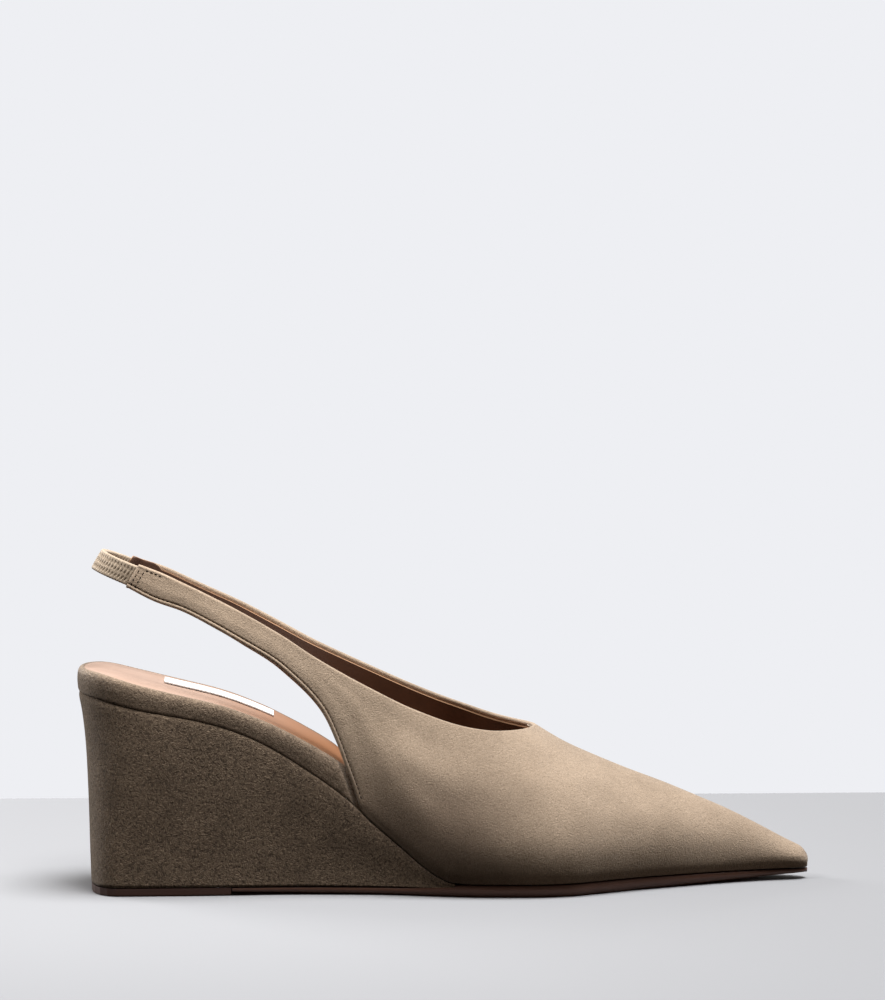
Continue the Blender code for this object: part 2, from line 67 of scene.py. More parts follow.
# Sizes of the pieces
WALL = 0.0018             # suede upper with its lining
BULGE = 0.0016            # how far the upper swells past the sole's edge
BULGE_SPAN = 0.026        # height over which it swells
RIM = 0.0085              # height of the platform's rim at the heel
LIP = 0.0021              # width of the suede lip round the insole
INSOLE = 0.0012           # thickness of the insole
INSOLE_CROWN = 0.0008     # how far its middle rises
TOP_PIECE = 0.0027        # thickness of the wear layer under the heel
TOP_PIECE_LENGTH = 0.0475
HEEL_FOOT_BACK = 0.0045   # how far the heel's foot lies in front of the seat's back
HEEL_FOOT_INSET = 0.0014  # how far its sides lie inside the seam
HEEL_FOOT_ROUND = 0.012   # length of the foot's rounded back corners
SEAT_POWER = 2.3          # how square the seat's back and the tip are rounded
FOOT_POWER = 2.8          # and the heel's foot
WEDGE_FRONT = 0.1265      # heel's back to the wedge's front end
TOE_SPRING = 0.0022       # height of the sole's underside at the tip
TOE_SOLE = 0.0013         # thickness of the sole at the tip
SOLE_THINS = 0.74         # place from where the sole thins out towards the tip
THIN_START = 0.010        # how far in front of the wedge the seam line follows the sole
WAIST_LIFT = 0.0012       # height of the sole's underside in front of the top piece
ELASTIC_WIDTH = 0.0074
ELASTIC = 0.0018          # thickness of the elastic band
ELASTIC_REACH = 0.0121    # from the arms' ends back to the middle of the band
ELASTIC_RISE = 0.0051     # how far the band climbs to its middle
GAP = 0.0003              # clearance between pieces that touch

THROAT = 0.622            # place of the throat's tip, as a share of LENGTH
CORNER = 0.382            # place where the wing's rear edge meets the seam
STEP_IN = 0.0030          # length over which the platform steps inside the upper
BALL_START = 0.56         # where the full ball width is reached
WAIST_START = 0.24        # where the seat width ends
ARMS_END = 0.22           # where the strap arms' sections start to turn into the upper's
ARMS_RUN = 0.13           # and the share of the length over which they do

# Seam line, where the wedge or the sole meets what it carries: its height as a share of the
# drop from the heel's height to the sole's.
Seam = namedtuple("Seam", "along height")
SEAM = (
    Seam(0.000, 1.000),
    Seam(0.035, 0.974),
    Seam(0.086, 0.926),
    Seam(0.167, 0.864),
    Seam(0.207, 0.818),
    Seam(0.247, 0.750),
    Seam(0.309, 0.602),
    Seam(0.362, 0.451),
    Seam(0.393, 0.333),
    Seam(0.440, 0.173),
    Seam(0.464, 0.092),
    Seam(0.484, 0.038),
    Seam(0.505, 0.006),
    Seam(0.540, 0.000),
    Seam(1.000, 0.000),
)

# Plan of the seam line: distances from the axis to the outer and the inner side, as shares of
# the width there.
Plan = namedtuple("Plan", "along outer inner")
PLAN = (
    Plan(0.000, 0.500, 0.500),
    Plan(0.120, 0.500, 0.500),
    Plan(0.200, 0.495, 0.486),
    Plan(0.300, 0.470, 0.428),
    Plan(0.400, 0.466, 0.358),
    Plan(0.480, 0.496, 0.352),
    Plan(0.560, 0.531, 0.401),
    Plan(0.612, 0.541, 0.446),
    Plan(0.660, 0.516, 0.463),
    Plan(0.700, 0.448, 0.446),
    Plan(0.760, 0.338, 0.378),
    Plan(0.820, 0.245, 0.288),
    Plan(0.884, 0.150, 0.194),
    Plan(0.940, 0.083, 0.118),
    Plan(0.976, 0.055, 0.075),
    Plan(1.000, 0.040, 0.050),
)

# Ridge of the vamp above the seam, as shares of INSTEP. Behind the throat it is the line of the
# foot's instep, which shapes the sections but isn't covered.
Ridge = namedtuple("Ridge", "along height")
RIDGE = (
    Ridge(0.080, 1.730),
    Ridge(0.160, 1.566),
    Ridge(0.240, 1.440),
    Ridge(0.320, 1.400),
    Ridge(0.389, 1.416),
    Ridge(0.455, 1.430),
    Ridge(0.524, 1.330),
    Ridge(0.584, 1.125),
    Ridge(0.622, 1.000),
    Ridge(0.665, 0.870),
    Ridge(0.710, 0.767),
    Ridge(0.754, 0.676),
    Ridge(0.800, 0.590),
    Ridge(0.844, 0.500),
    Ridge(0.890, 0.402),
    Ridge(0.935, 0.290),
    Ridge(0.965, 0.210),
    Ridge(0.989, 0.150),
    Ridge(1.000, 0.120),
)

# Half the spread of the strap arms at the level of the seam, as shares of half the seat's width
Spread = namedtuple("Spread", "along half")
ARMS = (
    Spread(0.068, 0.522),
    Spread(0.108, 0.688),
    Spread(0.148, 0.850),
    Spread(0.188, 0.972),
    Spread(0.228, 1.044),
    Spread(0.268, 1.060),
    Spread(0.380, 1.030),
)

# Topline: shares of the rise from the throat to the arms' ends, on either side
Topline = namedtuple("Topline", "along outer inner")
TOPLINE = (
    Topline(0.0852, 1.000, 1.000),
    Topline(0.115, 0.953, 0.953),
    Topline(0.141, 0.903, 0.898),
    Topline(0.168, 0.849, 0.839),
    Topline(0.221, 0.733, 0.729),
    Topline(0.274, 0.597, 0.609),
    Topline(0.322, 0.453, 0.497),
    Topline(0.389, 0.283, 0.360),
    Topline(0.455, 0.138, 0.230),
    Topline(0.524, 0.032, 0.112),
    Topline(0.572, 0.000, 0.040),
    Topline(0.600, -0.003, 0.012),
    Topline(0.622, 0.000, 0.000),
)

# Lower edge of an arm and rear edge of its wing, from the arm's end to the corner on the seam:
# height as a share of the rise from the corner to the arms' ends, and the place of the topline
# point that lies across the strap from it.
Edge = namedtuple("Edge", "along height across")
REAR_EDGE = (
    Edge(0.0672, 0.906, 0.0852),
    Edge(0.104, 0.852, 0.123),
    Edge(0.144, 0.813, 0.164),
    Edge(0.184, 0.754, 0.206),
    Edge(0.224, 0.687, 0.248),
    Edge(0.2625, 0.617, 0.288),
    Edge(0.2890, 0.549, 0.321),
    Edge(0.3145, 0.471, 0.353),
    Edge(0.3330, 0.393, 0.379),
    Edge(0.3480, 0.290, 0.403),
    Edge(0.3595, 0.195, 0.421),
    Edge(0.3700, 0.107, 0.437),
    Edge(0.382, 0.000, 0.450),
)

# Top of the platform's rim above the seam, as shares of RIM
Rim = namedtuple("Rim", "along height")
RIM_TOP = (
    Rim(0.000, 0.920),
    Rim(0.035, 1.000),
    Rim(0.086, 0.950),
    Rim(0.167, 0.825),
    Rim(0.220, 0.840),
    Rim(0.270, 0.950),
    Rim(0.310, 1.080),
    Rim(0.360, 1.190),
    Rim(0.400, 1.080),
    Rim(0.450, 0.800),
    Rim(0.500, 0.540),
    Rim(0.550, 0.440),
    Rim(1.000, 0.400),
)

# Section of the platform's rim: height share and inset from the widest line
Level = namedtuple("Level", "height inset")
RIM_SECTION = (
    Level(0.00, 0.0011),
    Level(0.12, 0.0003),
    Level(0.45, 0.0000),
    Level(0.78, 0.0002),
    Level(0.94, 0.0008),
    Level(1.00, 0.0015),
)

# Heel: inset of the back line from the seat's back, as a share of HEEL_FOOT_BACK, by the height
# share from the wedge's foot to the seam; and a small inset where the cover turns in at the seam.
Heel = namedtuple("Heel", "height back turn")
HEEL = (
    Heel(0.00, 1.00, 0.0000),
    Heel(0.18, 0.91, 0.0000),
    Heel(0.42, 0.82, 0.0000),
    Heel(0.70, 0.64, 0.0000),
    Heel(0.88, 0.36, 0.0001),
    Heel(0.97, 0.10, 0.0004),
    Heel(1.00, 0.08, 0.0011),
)

# Underside of the outsole: height as a share of WAIST_LIFT behind the ball and of TOE_SPRING
# in front of it
Under = namedtuple("Under", "along lift")
WAIST_UNDER = (
    Under(0.200, 1.00),
    Under(0.300, 0.50),
    Under(0.400, 0.28),
    Under(0.500, 0.06),
    Under(0.540, 0.00),
)
TOE_UNDER = (
    Under(0.740, 0.00),
    Under(0.840, 0.23),
    Under(0.900, 0.42),
    Under(0.955, 0.72),
    Under(1.000, 1.00),
)


def smoothstep(t):
    """0 below 0 and 1 above 1, with a soft start and end between them."""
    t = min(max(t, 0.0), 1.0)
    return t * t * (3 - 2 * t)


def slope_at(rows, column, i):
    """Slope of a table's curve at row i, kept from overshooting its neighbours."""
    def secant(a, b):
        """Slope of the straight line between two rows."""
        return (getattr(b, column) - getattr(a, column)) / (b.along - a.along)

    if i == 0:
        return secant(rows[0], rows[1])
    if i == len(rows) - 1:
        return secant(rows[-2], rows[-1])
    before = secant(rows[i - 1], rows[i])
    after = secant(rows[i], rows[i + 1])
    if before * after <= 0:
        return 0.0
    return 2 * before * after / (before + after)


def read(rows, column, along):
    """A table's column at a share of the length, on a smooth curve through its rows."""
    if along <= rows[0].along:
        return getattr(rows[0], column)
    if along >= rows[-1].along:
        return getattr(rows[-1], column)
    i = max(k for k, row in enumerate(rows) if row.along <= along)
    a, b = rows[i], rows[i + 1]
    span = b.along - a.along
    t = (along - a.along) / span
    left, right = slope_at(rows, column, i) * span, slope_at(rows, column, i + 1) * span
    return (
        getattr(a, column) * (1 + 2 * t) * (1 - t) ** 2
        + left * t * (1 - t) ** 2
        + getattr(b, column) * t * t * (3 - 2 * t)
        + right * t * t * (t - 1)
    )


def row_point(rows, t):
    """A table's row at a fractional index, on a Catmull-Rom curve through its rows."""
    i = min(int(t), len(rows) - 2)
    f = t - i
    a, b, c, d = (rows[min(max(i + k, 0), len(rows) - 1)] for k in (-1, 0, 1, 2))
    return type(b)(*(
        0.5 * (2 * q + (r - p) * f + (2 * p - 5 * q + 4 * r - s) * f * f
               + (3 * q - p - 3 * r + s) * f ** 3)
        for p, q, r, s in zip(a, b, c, d)
    ))


def rounded(distance, length, power=SEAT_POWER):
    """Width factor near a rounded end: 0 at the end, 1 from the given length inwards."""
    t = min(max(distance / length, 0.0), 1.0)
    return (1 - (1 - t) ** power) ** (1 / power)


def seam(x):
    """Height of the seam line at x, measured from the heel's back."""
    return SOLE_HEIGHT + (HEEL_HEIGHT - SOLE_HEIGHT) * read(SEAM, "height", x / LENGTH)


def axis(x):
    """Sideways place of the last's middle line, which swings inwards to the toe."""
    return TOE_SWING * smoothstep((x / LENGTH - WAIST_START) / (THROAT - WAIST_START))


def side_width(side, x):
    """Distance from the axis to the seam line, before its ends are rounded."""
    forward = smoothstep((x / LENGTH - WAIST_START) / (BALL_START - WAIST_START))
    width = SEAT_WIDTH + (BALL_WIDTH - SEAT_WIDTH) * forward
    return width * read(PLAN, side, x / LENGTH)


def edge(side, x):
    """Distance from the axis to the seam line, 0 at the heel's back and the toe's tip."""
    return side_width(side, x) * rounded(x, HEEL_ROUND) * rounded(LENGTH - x, TOE_ROUND)


def inset_edge(side, x, inset):
    """The seam line moved inwards by inset, square to itself."""
    if inset <= 0:
        return edge(side, x)
    turns = [radians(a) for a in range(-84, 85, 12)]
    return min(edge(side, x + inset * sin(a)) - inset * cos(a) for a in turns)


def tip_of(inset):
    """Where a plate that lies inset from the seam line ends in the toe."""
    low, high = LENGTH * THROAT, LENGTH
    for _ in range(40):
        middle = (low + high) / 2
        if min(inset_edge("outer", middle, inset), inset_edge("inner", middle, inset)) > 0:
            low = middle
        else:
            high = middle
    return low


def world(x, y, z):
    """A point of the last in the frame, whose middle lies under the middle of the shoe."""
    return Vector((x - LENGTH / 2, y, z))


def outsole_under(x):
    """Height of the outsole's underside: raised at the waist, flat at the ball, up at the toe."""
    share = x / LENGTH
    return (WAIST_LIFT * read(WAIST_UNDER, "lift", share)
            + TOE_SPRING * read(TOE_UNDER, "lift", share))


def wedge_foot():
    """Height of the wedge's flat underside."""
    return TOP_PIECE + GAP


def outsole_top(x, step):
    """Top of the sole: under the wedge at step 0, at the seam at step 1, thin at the tip."""
    forepart = SOLE_HEIGHT - GAP / 2
    thin = TOE_SPRING + TOE_SOLE - forepart
    return (TOP_PIECE + (forepart - TOP_PIECE) * step
            + thin * smoothstep((x / LENGTH - SOLE_THINS) / (1 - SOLE_THINS)))


def seam_floor(x):
    """The seam line, lowered a little towards the tip with the thinning sole."""
    if x <= WEDGE_FRONT + THIN_START:
        return seam(x)
    drop = outsole_top(x, 1.0) - (SOLE_HEIGHT - GAP / 2)
    return seam(x) + drop


def foot_edge(side, x):
    """Plan of the heel's foot and of the sole's waist, squarer at the back than the seat."""
    back = x - HEEL_FOOT_BACK
    forward = smoothstep((x / LENGTH - CORNER) / (BALL_START - CORNER))
    inset = HEEL_FOOT_INSET * (1 - forward)
    side_line = side_width(side, x) * rounded(LENGTH - x, TOE_ROUND) - inset
    return side_line * rounded(back, HEEL_FOOT_ROUND, FOOT_POWER)


def step_in(share):
    """Where the platform starts to step inside the upper, at a share of the rim's height."""
    return LENGTH * (CORNER - 0.020 * share) - STEP_IN - 2 * GAP


def cover(x, share):
    """How far the platform has stepped inside the upper, at a share of the rim's height."""
    return smoothstep((x - step_in(share)) / STEP_IN)


def rim_top(x):
    """Height of the top of the platform's rim."""
    return seam_floor(x) + GAP / 2 + RIM * read(RIM_TOP, "height", x / LENGTH)


def last_width(side, x):
    """Half width of the upper's sections at the seam: the sole's plan, and the arms behind it."""
    sole = side_width(side, x) * rounded(LENGTH - x, TOE_ROUND)
    arm = SEAT_WIDTH / 2 * read(ARMS, "half", x / LENGTH)
    return arm + (sole - arm) * smoothstep((x / LENGTH - ARMS_END) / ARMS_RUN)


def ridge(x):
    """Height of the ridge above the seam, falling away at the tip."""
    nose = 0.45 + 0.55 * rounded(LENGTH - x, TOE_ROUND / 2, 2)
    return INSTEP * read(RIDGE, "height", x / LENGTH) * nose


def upper_point(side, x, z):
    """Point of the upper's outer face at x and height z."""
    base = seam_floor(x) + GAP / 2
    full = ridge(x)
    share = min(max((z - base) / full, 0.0), 1.0)
    reach = last_width(side, x) * sqrt(1 - share * share)
    span = min(BULGE_SPAN, full)
    forward = smoothstep((x / LENGTH - CORNER) / 0.12) * rounded(LENGTH - x, TOE_ROUND)
    reach += BULGE * forward * sin(pi * min(max((z - base) / span, 0.0), 1.0))
    y = axis(x) + (reach if side == "inner" else -reach)
    return world(x, y, z)


def throat_height():
    """Height of the throat's tip."""
    x = THROAT * LENGTH
    return seam_floor(x) + GAP / 2 + ridge(x)


def arm_top():
    """Height of the upper corner of the arms' ends."""
    return seam(TOPLINE[0].along * LENGTH) + ARM_RISE


def topline(side, x):
    """Height of the topline at x, from the arms' ends down to the throat."""
    low = throat_height()
    return low + (arm_top() - low) * read(TOPLINE, side, x / LENGTH)


def corner_height():
    """Height of the wing's corner on the seam."""
    return seam_floor(CORNER * LENGTH) + GAP / 2


# Sizes of the sewn upper
ROLL = 0.00075            # radius of the suede's turned edges
SUEDE = 0.0004            # thickness of the suede's own sheet
TURN_TOP = 0.0017         # width of the suede turned in along the topline
TURN_LOW = 0.0016         # and along the lower edges
LINING_DEPTH = 0.0015     # from the suede's face to the lining
LINING = 0.0008           # thickness of the lining
LINING_END = 0.0038       # how far the inner arm's lining runs past the suede's end
TONGUE_IN = 0.0010        # and how far that end lies further in, clear of the elastic
TONGUE_TRIM = 0.0022      # how far its lower edge is cut back there
TONGUE_UP = 0.0003        # how far its top edge climbs towards the elastic
TONGUE_BARE = 0.0070      # length over which that lining reaches up to the topline
FULLNESS = 0.0026         # how far the wings and vamp swell over their foot
FULL_RUN = 0.014          # and within what distance of it
FULL_UP = (0.50, 0.92)    # shares of the way up between which the swell fades
FULL_TOP = 0.020          # distance from the topline over which it fades
FULL_START = (CORNER - 0.01, CORNER + 0.07)     # places where it starts
FULL_END = (0.74, 0.92)   # and where it ends
FOOT_ROLL = 0.7           # how round the foot's edge is, against the topline's
SEWN_END = (CORNER - 0.012, CORNER + 0.004)     # places where the stitched groove ends
STITCH_LINE = 0.0015      # topstitching's distance from the rear edge
STITCH_STEP = 0.0016      # from one stitch to the next
TAB_ROW_NEAR = 0.0013     # the tab's two rows of stitches, from its end
TAB_ROW_FAR = 0.0030
TAB_RUN = (0.0055, 0.011) # distance from an arm's end over which the tab's padding fades
TAB_TOP_RUN = 0.0105      # length of the short row under the topline
TAB_TOP_FADE = 0.002      # and how its groove runs out
TAB_TOP_LINE = 0.0012     # that row's distance from the topline
MIDDLE_UP = 0.012         # height of the shoe's inside, above the seam

FAN = 96                  # columns from an arm's end to the wing's corner
WING = 46                 # from the corner to the throat
VAMP_STEP = 0.0016        # spacing of the columns over the vamp
TIP = 14                  # columns round the tip
LOW_ROWS = (0.0, 0.00005, 0.0002, 0.00045, 0.00075, 0.0010, 0.0012, 0.00135, 0.0015,
            0.00165, 0.0018, 0.0020, 0.0024, 0.0032, 0.0044)
HIGH_ROWS = (0.0038, 0.0028, 0.0020, 0.0014, 0.0010, 0.00075, 0.00045, 0.0002, 0.00005, 0.0)
MIDDLE_ROWS = 16
TRACE = 48                # points on which a column's own length is measured
THROAT_STEPS = (0.0, 0.00005, 0.0002, 0.00045, 0.00075, 0.0011, 0.0016, 0.0024)
AT_RIDGE = 0.9999         # share of the ridge's height that counts as the ridge itself
EDGES_SHARE = 0.92        # most of a short column that its two edges' rows may take up


def deselect():
    """Leave edit mode with nothing selected."""
    if bpy.context.object and bpy.context.object.mode != "OBJECT":
        bpy.ops.object.mode_set(mode="OBJECT")
    bpy.ops.object.select_all(action="DESELECT")


def pick(piece):
    """Select one piece alone and make it active."""
    deselect()
    piece.select_set(True)
    bpy.context.view_layer.objects.active = piece


def laid_grid(name, points):
    """A grid primitive laid out on points[column][row]."""
    points = np.asarray(points, float)
    columns, rows = points.shape[:2]
    deselect()
    bpy.ops.mesh.primitive_grid_add(x_subdivisions=columns - 1, y_subdivisions=rows - 1, size=1)
    piece = bpy.context.object
    piece.name = piece.data.name = name
    flat = np.empty(len(piece.data.vertices) * 3)
    piece.data.vertices.foreach_get("co", flat)
    flat = flat.reshape(-1, 3)
    i = np.rint((flat[:, 0] + 0.5) * (columns - 1)).astype(int)
    j = np.rint((flat[:, 1] + 0.5) * (rows - 1)).astype(int)
    piece.data.vertices.foreach_set("co", points[i, j].ravel())
    piece.data.update()
    return piece


def close_up(piece, recalculate=True):
    """Merge what meets, drop faces without area and turn the rest outwards."""
    pick(piece)
    bpy.ops.object.mode_set(mode="EDIT")
    bpy.ops.mesh.select_all(action="SELECT")
    bpy.ops.mesh.remove_doubles(threshold=0.000002)
    bpy.ops.mesh.dissolve_degenerate(threshold=0.000001)
    bpy.ops.mesh.select_all(action="SELECT")
    if recalculate:
        bpy.ops.mesh.normals_make_consistent(inside=False)
    bpy.ops.object.mode_set(mode="OBJECT")
    bpy.ops.object.shade_smooth()
    return piece


def joined(name, pieces):
    """Several sheets as one piece."""
    deselect()
    for piece in pieces:
        piece.select_set(True)
    bpy.context.view_layer.objects.active = pieces[0]
    bpy.ops.object.join()
    pieces[0].name = pieces[0].data.name = name
    return pieces[0]


def thicken(piece, thickness, rim_material=0):
    """Give a sheet its thickness, away from its face."""
    pick(piece)
    wall = piece.modifiers.new("wall", "SOLIDIFY")
    wall.thickness = thickness
    wall.offset = -1
    wall.material_offset_rim = rim_material
    bpy.ops.object.modifier_apply(modifier=wall.name)
    return piece


def outward_faces(piece, centre_line):
    """Flip a sheet's faces if they look towards the shoe's middle line."""
    total = 0.0
    for face in piece.data.polygons:
        x, y, z = face.center
        middle = centre_line(x)
        total += (face.normal.y * (y - middle.y) + face.normal.z * (z - middle.z)) * face.area
    if total < 0:
        pick(piece)
        bpy.ops.object.mode_set(mode="EDIT")
        bpy.ops.mesh.select_all(action="SELECT")
        bpy.ops.mesh.flip_normals()
        bpy.ops.object.mode_set(mode="OBJECT")


def open_column(t):
    """Lower x and z and upper x of a column from an arm's end (0) to the wing's corner (1)."""
    row = row_point(REAR_EDGE, (len(REAR_EDGE) - 1) * t)
    z = corner_height() + (arm_top() - corner_height()) * row.height
    return row.along * LENGTH, z, row.across * LENGTH


def wing_column(t):
    """The same from the wing's corner (0) to the throat (1)."""
    first, last = REAR_EDGE[-1], THROAT * LENGTH
    low = CORNER * LENGTH + (last - CORNER * LENGTH) * t
    high = first.across * LENGTH + (last - first.across * LENGTH) * (1 - (1 - t) ** 2)
    low = low + (high - low) * t ** 3
    return low, seam_floor(low) + GAP / 2, high


def column_points(side, low_x, low_z, high_x, high_z):
    """One column of the upper's face, its rows close together along both edges."""
    base = seam_floor(high_x) + GAP / 2
    share = min(max((high_z - base) / ridge(high_x), 0.0), 1.0)
    turn = pi / 2 if share > AT_RIDGE else pi / 2 - sqrt(2 * (1 - share))

    def at(t):
        """The face at a share of the way up the column."""
        x = low_x + (high_x - low_x) * t
        return upper_point(side, x, low_z + (high_z - low_z) * sin(turn * t) / sin(turn))

    steps = np.linspace(0, 1, TRACE)
    trace = np.array([at(t) for t in steps])
    run = np.concatenate(([0], np.cumsum(np.linalg.norm(np.diff(trace, axis=0), axis=1))))
    whole = run[-1]
    shrink = min(1.0, EDGES_SHARE * whole / (LOW_ROWS[-1] + HIGH_ROWS[0]))
    low = [d * shrink for d in LOW_ROWS]
    high = [whole - d * shrink for d in HIGH_ROWS]
    middle = [low[-1] + (high[0] - low[-1]) * (k + 1) / (MIDDLE_ROWS + 1)
              for k in range(MIDDLE_ROWS)]
    return [at(t) for t in np.interp(low + middle + high, run, steps)]


def upper_columns(side):
    """All columns of a side's face, from the arm's end over the wing and the vamp to the tip."""
    feet = [open_column(k / FAN) for k in range(FAN + 1)]
    feet += [wing_column(k / WING) for k in range(1, WING)]
    columns = [column_points(side, low_x, low_z, high_x, topline(side, high_x))
               for low_x, low_z, high_x in feet]
    throat, end = THROAT * LENGTH, LENGTH - TOE_ROUND
    places = [throat + step for step in THROAT_STEPS]
    steps = int((end - places[-1]) / VAMP_STEP)
    places += [places[-1] + (end - places[-1]) * (k + 1) / steps for k in range(steps)]
    places += [LENGTH - TOE_ROUND * (1 - sin(pi / 2 * (k + 1) / TIP)) for k in range(TIP)]
    for x in places:
        base = seam_floor(x) + GAP / 2
        columns.append(column_points(side, x, base, x, base + ridge(x)))
    return np.array(columns, float)


def unit(vectors):
    """Vectors of length 1; those without length stay as they are."""
    return vectors / np.maximum(np.linalg.norm(vectors, axis=-1, keepdims=True), 1e-12)


def face_normals(grid):
    """Normals of a side's columns, pointing away from the foot."""
    along = np.gradient(grid, axis=0)
    across = np.gradient(grid, axis=1)
    normals = np.cross(along, across)
    weak = np.linalg.norm(normals, axis=-1) < 1e-13
    normals = unit(normals)
    normals[weak] = 0
    for i, j in zip(*np.nonzero(weak)):
        normals[i, j] = normals[max(i - 1, 0), min(max(j, 1), grid.shape[1] - 2)]
    middle = np.array([axis(x + LENGTH / 2) for x in grid[..., 0].ravel()]).reshape(grid.shape[:2])
    if ((grid[..., 1] - middle) * normals[..., 1]).mean() < 0:
        normals = -normals
    return unit(normals)


def edge_frame(line, normals, inside):
    """For points along an edge: the direction in the sheet, square to the edge, off the sheet."""
    tangent = unit(np.gradient(line, axis=0))
    off = unit(np.cross(tangent, normals))
    wrong = (off * (inside - line)).sum(-1) > 0
    off[wrong] *= -1
    return off


def nearest(points, line, batch=2000):
    """Distance of each point to a polyline's points and the nearest one's index."""
    flat = points.reshape(-1, 3)
    index = np.empty(len(flat), int)
    far = np.empty(len(flat))
    for start in range(0, len(flat), batch):
        some = slice(start, start + batch)
        gap = np.linalg.norm(flat[some, None] - line[None], axis=2)
        index[some] = gap.argmin(1)
        far[some] = gap.min(1)
    return far.reshape(points.shape[:-1]), index.reshape(points.shape[:-1])


def finer(line, times=6):
    """A polyline with more points on it."""
    steps = np.arange(len(line))
    fine = np.linspace(0, len(line) - 1, (len(line) - 1) * times + 1)
    return np.stack([np.interp(fine, steps, line[:, k]) for k in range(3)], axis=1)


def bell(distance, centre, width):
    """1 at the centre, fading out on either side of it."""
    return np.exp(-((distance - centre) / width) ** 2)


def soft_step(value, start, end):
    """0 up to the start and 1 from the end on, for an array of values."""
    t = np.clip((value - start) / (end - start), 0, 1)
    return t * t * (3 - 2 * t)


grids = {side: upper_columns(side) for side in ("outer", "inner")}
normals = {side: face_normals(grid) for side, grid in grids.items()}
OPEN = FAN + WING         # index of the throat's column
MEETING = ((slice(OPEN, None), -1), (-1, slice(None)))      # the ridge and the tip's column
for column, row in MEETING:
    shared = unit(normals["outer"][column, row] + normals["inner"][column, row])
    for side in ("outer", "inner"):
        normals[side][column, row] = shared
bare = {side: grid.copy() for side, grid in grids.items()}


def upper_fields(side):
    """Distances of a side's points to its topline, its rear edge, its seam and its arm's end."""
    grid = bare[side]
    top = finer(np.concatenate([bare["outer"][:OPEN + 1, -1], bare["inner"][OPEN - 1::-1, -1]]))
    rear = finer(grid[:FAN + 1, 0])
    foot = finer(grid[FAN:, 0])
    end = finer(grid[0], 8)
    return (nearest(grid, top)[0], nearest(grid, rear)[0], nearest(grid, foot)[0],
            nearest(grid, end)[0])


def rounding(distance):
    """How far the face has dropped at a distance from a turned edge."""
    inside = np.clip(ROLL - distance, 0, ROLL)
    return ROLL - np.sqrt(ROLL ** 2 - inside ** 2)


# Pressed lines and low swells beside an edge: their height, the distance of their middle from
# the edge and their half width, in metres
Press = namedtuple("Press", "height away width")
SEWN_EDGE = (
    Press(-0.00036, STITCH_LINE, 0.00022),
    Press(0.00010, 0.00085, 0.00035),
    Press(0.00020, 0.0040, 0.0020),
)
TAB_ROWS = (
    Press(-0.00030, TAB_ROW_NEAR, 0.00026),
    Press(-0.00030, TAB_ROW_FAR, 0.00026),
)
TAB_SWELL = Press(0.00012, 0.0022, 0.0008)
TAB_TOP_PRESS = Press(-0.00014, TAB_TOP_LINE, 0.00026)
FOOT_SWELL = Press(0.00022, 0.0030, 0.0030)
FOOT_START = (0.0006, 0.0028)       # distance from the foot over which its swell starts

# Soft forms of the vamp and wings: places as shares of LENGTH and of the way from the seam to
# the topline or ridge, half sizes along and across in metres, and height; troughs are negative.
Form = namedtuple("Form", "side along up length width height turn")
FORMS = (
    Form("outer", 0.425, 0.60, 0.020, 0.0045, -0.00030, -0.5),
    Form("outer", 0.470, 0.78, 0.026, 0.0050, -0.00028, -0.3),
    Form("outer", 0.455, 0.42, 0.030, 0.0070, 0.00030, -0.4),
    Form("outer", 0.540, 0.30, 0.022, 0.0060, -0.00022, 0.2),
    Form("outer", 0.600, 0.72, 0.018, 0.0060, -0.00025, 0.5),
    Form("outer", 0.655, 0.60, 0.020, 0.0050, 0.00022, 0.6),
    Form("outer", 0.700, 0.45, 0.024, 0.0060, -0.00020, 0.1),
    Form("inner", 0.430, 0.58, 0.022, 0.0050, -0.00030, -0.5),
    Form("inner", 0.490, 0.75, 0.024, 0.0055, -0.00026, -0.3),
    Form("inner", 0.600, 0.55, 0.022, 0.0070, 0.00025, 0.3),
    Form("inner", 0.660, 0.40, 0.024, 0.0060, -0.00022, 0.2),
)


FORM_HEIGHT = 0.045                 # height that a form's place up the sheet counts as
FORMS_EDGE = (0.001, 0.006)         # distance from an edge over which the forms fade
FORMS_RIDGE = (0.82, 1.0)           # and shares of the way up, towards the ridge


def pressed(distance, *presses):
    """Height of some pressed lines and swells at a distance from their edge."""
    return sum(press.height * bell(distance, press.away, press.width) for press in presses)


